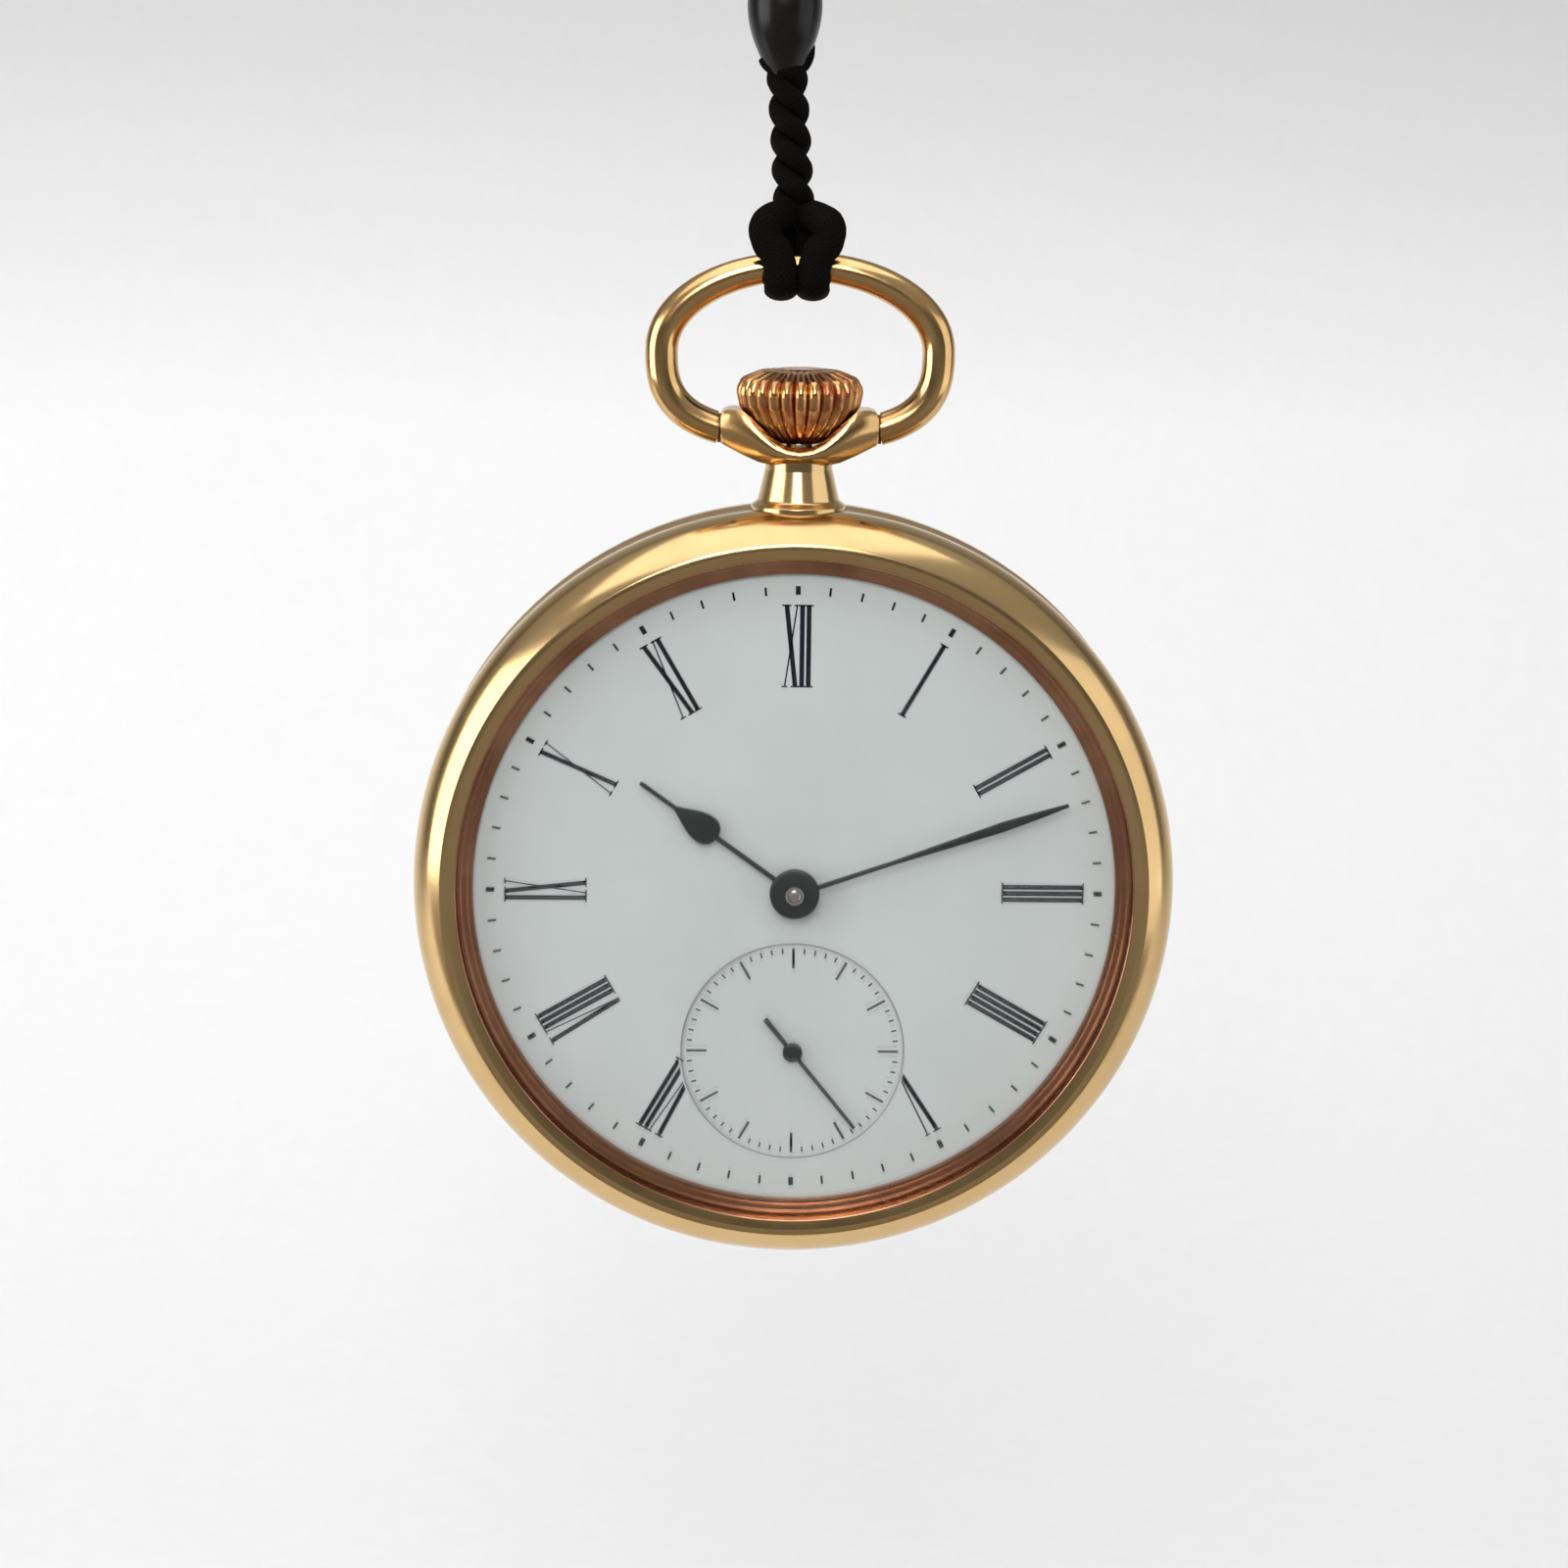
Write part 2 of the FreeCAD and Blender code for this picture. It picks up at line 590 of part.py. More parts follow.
def make_crown():
    """The onion crown: a core, straight ribs that follow the onion, and a smooth cap."""
    crown = new_body("crown")
    side = [("crown_foot_radius", "crown_foot"), ("crown_shoulder_radius", "crown_shoulder"),
            ("crown_radius - rib_depth", "crown_waist"), ("crown_radius - 0.95", "29.7"),
            ("crown_cap", "crown_cap_top"), ("0", "crown_cap_top")]
    turn_profile(crown, [("0", "crown_foot")] + side, plane="XY_Plane")
    rib_sketch = new_sketch(crown)
    outline(rib_sketch, [
        ("0.7", "crown_foot + 0.15"), ("crown_shoulder_radius", "crown_shoulder - 0.15"),
        ("crown_radius - 0.1", "crown_waist - 0.7", "1.4", "left"),
        ("crown_radius - 0.1", "crown_waist + 0.35", "1.6", "left"),
        ("crown_cap + 0.4", "crown_top"), ("0.7", "crown_top - 0.1")])
    rib = raise_sketch(crown, rib_sketch, "rib_width", middle=True)
    ring_of(crown, rib, int(number("rib_count")), "Y_Axis")
    bind(crown, "Placement.Base.y", "0")


def make_stem():
    """The winding stem, with the lever's groove and a square for the clutch."""
    stem = new_body("winding_stem")
    turn_profile(stem, [
        ("0", "stem_tip"), ("stem_pilot", "stem_tip"), ("stem_pilot", "9.2"),
        ("0.45", "9.2"), ("0.45", "13.4"), ("stem_radius", "13.4"),
        ("stem_radius", "groove_low"), ("stem_groove", "groove_low"),
        ("stem_groove", "groove_high"), ("stem_radius", "groove_high"),
        ("stem_radius", "crown_foot"), ("0", "crown_foot")], plane="XY_Plane")
    square = new_sketch(stem, "XZ_Plane", "-13.4")
    half = "0.5*stem_square"
    outline(square, rectangle("0 - " + half, half, "0 - " + half, half))
    raise_sketch(stem, square, "13.4 - 9.2")
    bind(stem, "Placement.Base.y", "0")


# ---------------------------------------------------------------- cord and bead
# The cord's route, by hand: (x, y, distance in front of the bow's plane).
cord_route = [
    (-1.75, 47.5, 0.0), (-1.45, 43.0, 0.0), (-1.35, 39.4, -0.9), (-1.15, 36.9, -1.52),
    (-1.15, 34.38, -1.52), (-1.15, 34.38, 1.52), (-1.2, 36.5, 1.55), (-2.3, 37.6, 1.4),
    (-1.6, 39.3, 1.3), (1.0, 39.3, 1.3), (1.75, 37.6, 1.4), (0.7, 36.5, 1.55),
    (0.65, 34.38, 1.52), (0.65, 34.38, -1.52), (0.65, 36.9, -1.52), (0.25, 39.4, -0.9),
    (0.05, 43.0, 0.0), (-0.3, 47.5, 0.0), (-0.75, 52.2, 0.0), (1.2, 56.2, 0.0),
    (3.2, 60.2, 0.0), (1.9, 64.7, 0.0), (-1.9, 64.7, 0.0), (-3.9, 60.2, 0.0),
    (-3.4, 56.0, 0.0), (-1.9, 52.0, 0.0)]


def rounded_path(points):
    """Straight runs joined by tangent arcs, each as large as its two runs allow."""
    edges = []
    radii = []
    here = points[0]
    for before, corner, after in zip(points, points[1:], points[2:]):
        back, ahead = before - corner, after - corner
        half_turn = (math.pi - back.getAngle(ahead)) / 2
        reach = 0.45 * min(back.Length, ahead.Length)
        radii.append(reach / math.tan(half_turn))
        back.normalize()
        ahead.normalize()
        start, stop = corner + back * reach, corner + ahead * reach
        inward = (back + ahead).normalize()
        rise = radii[-1] / math.cos(half_turn) - radii[-1]
        edges.append(Part.LineSegment(here, start).toShape())
        edges.append(Part.Arc(start, corner + inward * rise, stop).toShape())
        here = stop
    edges.append(Part.LineSegment(here, points[-1]).toShape())
    return Part.Wire(edges), radii


def make_cord():
    """One cord: down from the bead, hitched round the bow's top, back and up to a loop."""
    level = number("stem_level")
    points = [Vector(x, y, level + front) for x, y, front in cord_route]
    path, radii = rounded_path(points)
    print("cord radii:", [round(radius, 2) for radius in radii])
    start = points[1] - points[0]
    ring = Part.Wire([Part.Circle(points[0], start, number("cord_radius")).toShape()])
    tube = path.makePipeShell([ring], True, False)
    expected = math.pi * number("cord_radius") ** 2 * path.Length
    print("cord volume %.1f of %.1f, length %.1f" % (tube.Volume, expected, path.Length))
    cord = doc.addObject("Part::Feature", "cord_tube")
    cord.Shape = tube
    keep(cord, "cord")


def make_bead():
    """The egg-shaped bead that gathers the cord, narrow end down."""
    bead = new_body("bead", x="bead_shift")
    turn_profile(bead, [
        ("bead_bore", "bead_foot"), ("bead_end", "bead_foot", "bead_lower_bend", "left"),
        ("bead_radius", "bead_waist", "bead_upper_bend", "left"),
        ("bead_end", "bead_top"), ("bead_bore", "bead_top")], plane="XY_Plane")
    bind(bead, "Placement.Base.y", "0")


# ---------------------------------------------------------------- dial and hands
def make_dial():
    dial = new_body("dial")
    disc(dial, "dial_radius", "dial_back", "0 - dial_back")
    holes(dial, "0", "1", [("0", "0", "dial_hole"),
                           ("0", "0 - seconds_offset", "seconds_opening")])
    seconds = new_body("seconds_dial", y="0 - seconds_offset")
    disc(seconds, "seconds_opening - 0.01", "dial_back", "seconds_floor - dial_back",
         bore="seconds_hole")


def make_hands():
    """Hour hand with a drop near its tip, slender minute hand, small seconds hand."""
    hour = new_body("hour_hand", turn=-305.9)
    disc(hour, "hub_radius", "hour_level", "hand_thick", bore="0.98")
    plate(hour, [("0.14", "1.2"), ("0.14", "5.6", "1.1", "right"),
                 ("0.9", "6.5", "2.9", "left"), ("0.14", "8.6"), ("0.05", "hour_reach"),
                 ("-0.05", "hour_reach"), ("-0.14", "8.6", "2.9", "left"),
                 ("-0.9", "6.5", "1.1", "right"), ("-0.14", "5.6"), ("-0.14", "1.2")],
          "hour_level", "hand_thick")
    minute = new_body("minute_hand", turn=-70.9)
    disc(minute, "hub_radius - 0.15", "minute_level", "hand_thick", bore="0.56")
    plate(minute, [("0.16", "1.1"), ("0.11", "8.6"), ("0.3", "12.7"),
                   ("0.1", "minute_reach"), ("-0.1", "minute_reach"), ("-0.3", "12.7"),
                   ("-0.11", "8.6"), ("-0.16", "1.1")], "minute_level", "hand_thick")
    second = new_body("seconds_hand", y="0 - seconds_offset", turn=-141.3)
    disc(second, "seconds_hub", "seconds_level", "hand_thick", bore="0.19")
    for corners in ([("0.11", "0.4"), ("0.06", "seconds_reach"), ("-0.06", "seconds_reach"),
                     ("-0.11", "0.4")],
                    [("-0.13", "-0.4"), ("-0.16", "0 - seconds_tail"),
                     ("0.16", "0 - seconds_tail"), ("0.13", "-0.4")]):
        plate(second, corners, "seconds_level", "hand_thick")


# ---------------------------------------------------------------- movement
def make_main_plate():
    """The plate that carries everything, recessed for the barrel and the motion work."""
    plate_body = new_body("main_plate")
    disc(plate_body, "plate_radius", "plate_back", "dial_back - plate_back")
    front = "dial_back"
    holes(plate_body, front, "0.55", [("0", "0", "2.75")])
    holes(plate_body, front, "0.85", [("0", "0", "1")])
    holes(plate_body, front, "0.95", [("0", "minute_wheel_y", "2.6")])
    holes(plate_body, front, "1.35", [("0", "setting_wheel_y", "2.8")])
    recess(plate_body, rectangle("-6.2", "2.4", "10", "17.2"), front, "1.5")
    recess(plate_body, rectangle("-2.3", "2.3", "9.2", "14.9"), front, "3")
    recess(plate_body, rectangle("-1", "1", "9", "19"), front, "3")
    recess(plate_body, rectangle("-0.6", "0.6", "7.6", "9.4"), "plate_back + 0.3", "1")
    holes(plate_body, front, "3", [
        ("0", "0", "0.58"), ("third_x", "third_y", "0.2"),
        ("0", "0 - seconds_offset", "0.25"), ("escape_x", "0 - seconds_offset", "0.2"),
        ("pallet_x", "pallet_y", "0.2"), ("balance_x", "balance_y", "0.2"),
        ("barrel_x", "barrel_y", "0.42")])
    barrel = new_sketch(plate_body, level="-1.7")
    circle(barrel, "7.2", "barrel_x", "barrel_y")
    feature = sink_sketch(plate_body, barrel, "2")
    return feature


def bridge(label, corners, back, feet, bores):
    """A bridge: its plate, feet (x, y, radius) down to the main plate, and its holes."""
    body = new_body(label)
    plate(body, corners, back, "bridge_low - " + back)
    for x, y, radius in feet:
        disc(body, radius, "bridge_low", "plate_back - bridge_low", x, y)
    holes(body, "plate_back", "5", bores)
    return body


def make_bridges():
    """Barrel, train and pallet bridges and the balance cock."""
    bridge("barrel_bridge", [
        ("-9.5", "13.2"), ("-12.2", "2.9"), ("-2.6", "2.7"), ("1.4", "1.7"),
        ("3", "-1.4"), ("14.9", "-1.4"), ("17.4", "3", "17.7", "left"), ("10.6", "14"), ("3.1", "12.9"),
        ("-3.1", "12.9")],
        "bridge_back", [("-9.6", "8.6", "1.3"), ("15.4", "1.2", "1.3"),
                        ("6.4", "14.0", "0.9")],
        [("barrel_x", "barrel_y", "0.75"), ("0", "crown_wheel_y", "0.45")])
    bridge("train_bridge", [
        ("-2.4", "2.2"), ("-3.6", "-7"), ("-6.2", "-11.6"), ("-4.6", "-13.8"),
        ("4.2", "-17.2", "17.7", "left"), ("16.9", "-5"), ("13.9", "-1.9"), ("2.6", "-1.9"),
        ("1.1", "1.2")],
        "train_back", [("12.8", "-9.4", "1.5"), ("1.2", "-15.4", "1.2")],
        [("0", "0", "0.4"), ("third_x", "third_y", "0.14"),
         ("0", "0 - seconds_offset", "0.14"), ("escape_x", "0 - seconds_offset", "0.14")])
    pallet = new_body("pallet_bridge", "pallet_x", "pallet_y", 53.0)
    plate(pallet, rectangle("-2.8", "2.8", "-0.55", "0.55"), "-3.35", "0.22")
    for side in ("-2.3", "2.3"):
        disc(pallet, "0.45", "-3.2", "plate_back + 3.2", side)
    holes(pallet, "plate_back", "2", [("0", "0", "0.14")])
    cock = new_body("balance_cock")
    disc(cock, "1.9", "cock_low", "plate_back - cock_low", "cock_foot_x", "cock_foot_y")
    plate(cock, [("cock_foot_x - 1.9", "cock_foot_y"), ("cock_foot_x + 1.9", "cock_foot_y"),
                 ("balance_x + 1.2", "balance_y", "1.25", "left"),
                 ("balance_x - 1.2", "balance_y")], "cock_back", "cock_low - cock_back")
    disc(cock, "1.9", "cock_back", "cock_low - cock_back", "cock_foot_x", "cock_foot_y")
    holes(cock, "cock_low", "1", [("balance_x", "balance_y", "0.14")])


def make_wheels():
    """Going train, motion work and winding wheels, each turned into mesh with the last."""
    centre_turn = meshing_turn("barrel", 0.0, "centre_pinion")
    centre = new_body("centre_wheel", turn=centre_turn)
    spoked_wheel(centre, "centre", "-3.75", "0.2", "1.3", "0.5")
    disc(centre, "0.55", "bridge_low + 0.05", "2.6")
    disc(centre, "0.35", "-4.7", "5.8")
    toothed_ring(centre, "centre_pinion", "-3.35", "0.5")
    third_turn = meshing_turn("centre", centre_turn, "third_pinion")
    third = new_body("third_wheel", "third_x", "third_y", third_turn)
    spoked_wheel(third, "third", "-2.65", "0.12", "0.6", "0.4")
    toothed_ring(third, "third_pinion", "-3.85", "0.5")
    fourth_turn = meshing_turn("third", third_turn, "fourth_pinion")
    fourth = new_body("fourth_wheel", "0", "0 - seconds_offset", fourth_turn)
    spoked_wheel(fourth, "fourth", "-3.22", "0.12", "0.9", "0.4")
    toothed_ring(fourth, "fourth_pinion", "-2.8", "0.36")
    disc(fourth, "0.17", "-3.1", "3.37")
    escape_turn = meshing_turn("fourth", fourth_turn, "escape_pinion")
    escape = new_body("escape_wheel", "escape_x", "0 - seconds_offset", escape_turn)
    disc(escape, "1.75", "-2.87", "0.12", bore="1.35")
    disc(escape, "0.6", "-2.87", "0.12")
    arm = plate(escape, rectangle("0.3", "1.5", "-0.12", "0.12"), "-2.87", "0.12")
    ring_of(escape, arm, 5)
    tooth = plate(escape, [("1.65", "-0.3"), ("2.3", "0.1"), ("2.25", "0.2"),
                           ("1.65", "0.08")], "-2.87", "0.12")
    ring_of(escape, tooth, 15)
    toothed_ring(escape, "escape_pinion", "-3.4", "0.36")
    for body in (third, fourth, escape):
        disc(body, "arbor", "bridge_low + 0.06", "plate_back - bridge_low - 0.12")
        disc(body, "pivot", "bridge_low - 0.35", "0.5")
    for body in (third, escape):
        disc(body, "pivot", "plate_back - 0.1", "0.45")
    cannon_turn = 0.0
    cannon = new_body("cannon_pinion", turn=cannon_turn)
    toothed_ring(cannon, "cannon", "-1.2", "0.3", bore="0.4")
    disc(cannon, "0.54", "-1.2", "2.35", bore="0.4")
    minute_turn = meshing_turn("cannon", cannon_turn, "minute")
    minute = new_body("minute_wheel", "0", "minute_wheel_y", minute_turn)
    toothed_ring(minute, "minute", "-1.25", "0.2", bore="0.3")
    toothed_ring(minute, "minute_pinion", "-1.05", "0.45", bore="0.3")
    setting_turn = meshing_turn("minute", minute_turn, "setting")
    setting = new_body("setting_wheel", "0", "setting_wheel_y", setting_turn)
    toothed_ring(setting, "setting", "-1.62", "0.55", bore="0.4")
    hour = new_body("hour_wheel", turn=meshing_turn("minute_pinion", minute_turn, "hour"))
    toothed_ring(hour, "hour", "-0.85", "0.25", bore="0.6")
    disc(hour, "0.95", "-0.85", "1.5", bore="0.6")
    posts = [cylinder("minute_post", "0.27", "-1.4", "0.75", "0", "minute_wheel_y"),
             cylinder("setting_post", "0.37", "-1.8", "0.75", "0", "setting_wheel_y")]
    keep(group("posts", posts), "motion_work_posts")


def make_winding():
    """Barrel with its cover, spring and arbor, ratchet and crown wheels, clutch, pinion."""
    drum = new_body("barrel_drum", "barrel_x", "barrel_y")
    toothed_ring(drum, "barrel", "-3.28", "0.35", bore="5.9")
    disc(drum, "6.3", "-3.28", "1.45", bore="5.9")
    disc(drum, "6.3", "-2.03", "0.2", bore="0.75")
    lid = new_body("barrel_cover", "barrel_x", "barrel_y")
    disc(lid, "5.88", "-3.28", "0.2", bore="0.75")
    keep(spiral_strip("mainspring_strip", 1.5, 5.75, 7, 0.14, -3.0, 0.9, 20), "mainspring",
         "barrel_x", "barrel_y")
    arbor = new_body("barrel_arbor", "barrel_x", "barrel_y")
    disc(arbor, "0.72", "-3.9", "2.15")
    disc(arbor, "1.4", "-3.0", "0.9")
    disc(arbor, "0.4", "-1.7", "0.9")
    disc(arbor, "0.55", "-4.9", "1.1")
    ratchet = new_body("ratchet_wheel", "barrel_x", "barrel_y")
    toothed_ring(ratchet, "ratchet", "-4.9", "0.3", bore="0.55")
    crown_wheel = new_body("crown_wheel", "0", "crown_wheel_y",
                           meshing_turn("ratchet", 0.0, "crown_wheel"))
    toothed_ring(crown_wheel, "crown_wheel", "-4.9", "0.34", bore="0.6")
    pinion = new_body("winding_pinion")
    clutch = new_body("clutch_wheel")
    for body, low, high, radius, bore in ((pinion, "13.45", "14.75", "1.5", "0.78"),
                                          (clutch, "10.95", "13.05", "0.98", "0.7")):
        profile = [(bore, low), (radius, low), (radius, high), (bore, high)]
        if body is clutch:
            profile[2:2] = [(radius, "11.75"), ("0.85", "11.75"), ("0.85", "12.25"),
                            (radius, "12.25")]
        turn_profile(body, profile, plane="XY_Plane")
        bind(body, "Placement.Base.y", "0")
    tooth = new_sketch(pinion, "XZ_Plane", "-14.75")
    outline(tooth, [("1.4", "-0.15"), ("2", "-0.07"), ("2", "0.07"), ("1.4", "0.15")])
    ring_of(pinion, raise_sketch(pinion, tooth, "1.3"), 18, "Y_Axis")
    for top, length in (("-13.05", "0.5"), ("-11.45", "0.5")):
        tooth = new_sketch(clutch, "XZ_Plane", top)
        outline(tooth, [("0.9", "-0.14"), ("1.15", "-0.07"), ("1.15", "0.07"),
                        ("0.9", "0.14")])
        ring_of(clutch, raise_sketch(clutch, tooth, length), 14, "Y_Axis")


def spiral_strip(name, inner, outer, rounds, width, low, height, steps):
    """A flat spring: a strip that winds out evenly from the inner to the outer radius."""
    edge = [[], []]
    for index in range(rounds * steps + 1):
        share = index / (rounds * steps)
        angle = 2 * math.pi * share * rounds
        radius = inner + share * (outer - inner)
        for side, offset in enumerate((-width / 2, width / 2)):
            edge[side].append(Vector((radius + offset) * math.cos(angle),
                                     (radius + offset) * math.sin(angle), low))
    ring = Part.makePolygon(edge[0] + edge[1][::-1] + [edge[0][0]])
    strip = doc.addObject("Part::Feature", name)
    strip.Shape = Part.Face(ring).extrude(Vector(0, 0, height))
    return strip


def make_escapement():
    """Pallet fork with its stones, balance on its staff, roller, hairspring, regulator."""
    fork = new_body("pallet_fork", "pallet_x", "pallet_y", 143.0)
    plate(fork, [("0.35", "-0.22"), ("3.0", "-0.12"), ("3.55", "-0.42"), ("3.7", "-0.16"),
                 ("3.1", "-0.14"), ("3.1", "0.14"), ("3.7", "0.16"), ("3.55", "0.42"),
                 ("3.0", "0.12"), ("0.35", "0.22"), ("-0.75", "1.35"), ("-1.0", "1.15"),
                 ("-0.45", "0"), ("-1.0", "-1.15"), ("-0.75", "-1.35")], "-3.04", "0.12")
    disc(fork, "0.18", "-3.1", "0.64")
    disc(fork, "pivot", "-3.3", "1.1")
    stones = [cylinder("stone_%d" % side, "0.12", "-2.9", "0.16", "-0.82", y)
              for side, y in enumerate(("-1.2", "1.2"))]
    keep(group("stones", stones), "pallet_stones", "pallet_x", "pallet_y", 143.0)
    balance = new_body("balance_wheel", "balance_x", "balance_y", 20.0)
    disc(balance, "4.7", "-3.8", "0.3", bore="4.15")
    disc(balance, "0.7", "-3.8", "0.3", bore="0.3")
    for left, right in (("-4.4", "-0.5"), ("0.5", "4.4")):
        plate(balance, rectangle(left, right, "-0.25", "0.25"), "-3.75", "0.2")
    screws = []
    for index in range(14):
        screw = doc.addObject("Part::Cylinder", "balance_screw_%d" % index)
        screw.Radius = 0.13 if index % 7 == 3 else 0.14
        screw.Height = 0.4
        angle = math.radians(20 + (index + 0.5) * 360 / 14)
        along = Vector(math.cos(angle), math.sin(angle), 0)
        screw.Placement = Placement(along * 4.7 + Vector(0, 0, -3.65),
                                    Rotation(Vector(0, 0, 1), along))
        screws.append(screw)
    keep(group("timing_screws", screws), "balance_screws", "balance_x", "balance_y")
    staff = new_body("balance_staff", "balance_x", "balance_y")
    disc(staff, "0.3", "-4.35", "1.85")
    disc(staff, "pivot", "-4.8", "2.8")
    roller = new_body("impulse_roller", "balance_x", "balance_y", -37.0)
    disc(roller, "0.8", "-3.35", "0.1", bore="0.3")
    disc(roller, "0.09", "-3.3", "0.2", "0.6")
    keep(spiral_strip("hairspring_strip", 0.55, 2.4, 8, 0.05, -4.15, 0.15, 24), "hairspring",
         "balance_x", "balance_y")
    regulator = new_body("regulator", "balance_x", "balance_y", 120.0)
    disc(regulator, "0.75", "-5.07", "0.1", bore="0.35")
    plate(regulator, [("0.5", "-0.16"), ("3.2", "-0.07"), ("3.2", "0.07"), ("0.5", "0.16")],
          "-5.07", "0.1")


def make_small_pieces():
    """Click and its spring, setting lever, yoke, jewels, and the screws in their groups."""
    click = new_body("click", "12.6", "7.7")
    disc(click, "0.7", "-4.85", "0.27", bore="0.3")
    plate(click, [("-0.3", "-0.5"), ("0.5", "-0.4"), ("0.2", "-2.2"), ("-1", "-1.95")],
          "-4.85", "0.27")
    lever = new_body("setting_lever", "-2.9", "14.2")
    disc(lever, "0.7", "-1.4", "0.4", bore="0.32")
    plate(lever, [("-0.3", "0.4"), ("3.15", "0.82"), ("3.15", "1.4"), ("-0.3", "1.4")],
          "-1.4", "0.4")
    disc(lever, "0.24", "-2.1", "0.8", "2.9", "1.1")
    yoke = new_body("yoke", "-4.6", "11.2")
    disc(yoke, "0.7", "-1.4", "0.4", bore="0.32")
    plate(yoke, [("0.4", "-0.3"), ("4.8", "0.5"), ("4.8", "1.1"), ("0.2", "0.5")],
          "-1.4", "0.4")
    disc(yoke, "0.18", "-1.72", "0.5", "4.6", "0.8")
    pins = [cylinder("lever_post", "0.3", "-1.95", "1.1", "-2.9", "14.2"),
            cylinder("yoke_post", "0.3", "-1.95", "1.1", "-4.6", "11.2")]
    keep(group("keyless_pins", pins), "keyless_posts")
    jewels = []
    places = [("third_x", "third_y"), ("escape_x", "0 - seconds_offset"),
              ("0", "0 - seconds_offset")]
    for index, (x, y) in enumerate(places):
        top = cylinder("jewel_disc_%d" % index, "jewel_radius", "train_back - 0.1", "0.1",
                       x, y)
        bore = cylinder("jewel_bore_%d" % index, "jewel_hole", "train_back - 0.2", "0.4",
                        x, y)
        jewels.append(cut("jewel_%d" % index, top, bore))
    jewels.append(cut("cock_jewel", cylinder("cock_disc", "0.3", "cock_back - 0.1", "0.1",
                                             "balance_x", "balance_y"),
                      cylinder("cock_bore", "jewel_hole", "cock_back - 0.2", "0.4",
                               "balance_x", "balance_y")))
    keep(group("jewel_group", jewels), "jewels")
    make_screws("bridge_screws", 1.1, [
        ("-9.6", "8.6", "bridge_back"), ("15.4", "1.2", "bridge_back"),
        ("12.8", "-9.4", "train_back"), ("1.2", "-15.4", "train_back"),
        ("cock_foot_x", "cock_foot_y", "cock_back")])
    make_screws("wheel_screws", 1.6, [
        ("0", "crown_wheel_y", "-4.9"), ("barrel_x", "barrel_y", "-4.9"),
        ("12.6", "7.7", "-4.85")], shank="0.28")


def make_screws(label, width, places, shank="0.45"):
    """Slotted screws standing on the level given for each: heads, and shanks below."""
    screws = []
    for index, (x, y, seat) in enumerate(places):
        name = "%s_%d" % (label, index)
        head = cylinder(name + "_head", "%.2f" % (width / 2), seat + " - 0.12", "0.12", x, y)
        slot = block(name + "_slot", "%.2f" % (width + 0.2), "0.16", "0.1",
                     x + " - %.2f" % (width / 2 + 0.1), y + " - 0.08", seat + " - 0.15")
        screws.append(cut(name, head, slot))
    keep(group(label + "_group", screws), label)


make_band()
make_bezel()
make_crystal()
make_rear_cover()
make_pendant()
make_bow()
make_crown()
make_stem()
make_cord()
make_bead()
make_dial()
make_hands()
make_main_plate()
make_bridges()
make_wheels()
make_winding()
make_escapement()
make_small_pieces()

hinge_pin = [piece for piece in pieces if piece.Label == "cover_hinge_pin"][0]
hinge_pin.Placement = Placement(Vector(0, 0, 0), Rotation(Vector(0, 1, 0), 90))
bind(hinge_pin, "Placement.Base.x", "-2.5*knuckle_length - 2*knuckle_gap")
bind(hinge_pin, "Placement.Base.y", "stem_level - hinge_level")
bind(hinge_pin, "Placement.Base.z", "0 - hinge_offset - hang_drop")

doc.recompute()

faults = [thing.Label for thing in doc.Objects
          if "Invalid" in thing.State or "Error" in thing.State]
for piece in pieces:
    if piece.Shape.isNull() or not piece.Shape.isValid():
        faults.append(piece.Label + " shape")
if faults:
    raise RuntimeError("these objects failed: " + ", ".join(faults))

os.makedirs("parts", exist_ok=True)
for piece in pieces:
    piece.Shape.exportStep("parts/%s.step" % piece.Label)
    print("%-18s %9.3f mm3  %d solids" % (piece.Label, piece.Shape.Volume,
                                         len(piece.Shape.Solids)))
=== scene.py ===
import math

import bmesh
import bpy
import numpy as np
from mathutils import Matrix, Vector


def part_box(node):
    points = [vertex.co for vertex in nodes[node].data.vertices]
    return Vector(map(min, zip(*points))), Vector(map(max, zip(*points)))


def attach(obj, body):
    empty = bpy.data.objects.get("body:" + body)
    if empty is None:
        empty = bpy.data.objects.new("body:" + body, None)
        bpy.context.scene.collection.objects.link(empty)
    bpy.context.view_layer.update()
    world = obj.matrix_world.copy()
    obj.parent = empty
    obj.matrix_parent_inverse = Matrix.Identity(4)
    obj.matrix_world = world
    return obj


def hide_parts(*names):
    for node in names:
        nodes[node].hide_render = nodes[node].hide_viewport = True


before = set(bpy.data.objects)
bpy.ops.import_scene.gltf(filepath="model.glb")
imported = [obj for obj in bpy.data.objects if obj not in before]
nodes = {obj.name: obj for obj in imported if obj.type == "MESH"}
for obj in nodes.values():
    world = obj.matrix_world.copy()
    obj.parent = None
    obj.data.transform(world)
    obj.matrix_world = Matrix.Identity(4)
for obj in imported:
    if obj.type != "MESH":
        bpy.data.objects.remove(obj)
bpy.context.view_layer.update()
mm = 0.001

# The watch's own frame: x to three o'clock, y to twelve, z out of the dial, in mm from the
# dial's centre. The dial's box says where that is.
dialLow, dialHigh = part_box("dial")
dialCentre = Vector(((dialLow.x + dialHigh.x) / 2, dialLow.y, (dialLow.z + dialHigh.z) / 2))
stemLevel = dialCentre.y / mm
standUp = Matrix.Translation(dialCentre) @ Matrix.Rotation(math.pi / 2, 4, "X")


def toWorld(points):
    # world = centre + (x, -z, y), in metres
    points = np.asarray(points, float).reshape(-1, 3) * mm
    turned = np.column_stack((points[:, 0], -points[:, 2], points[:, 1]))
    return turned + np.array(dialCentre)


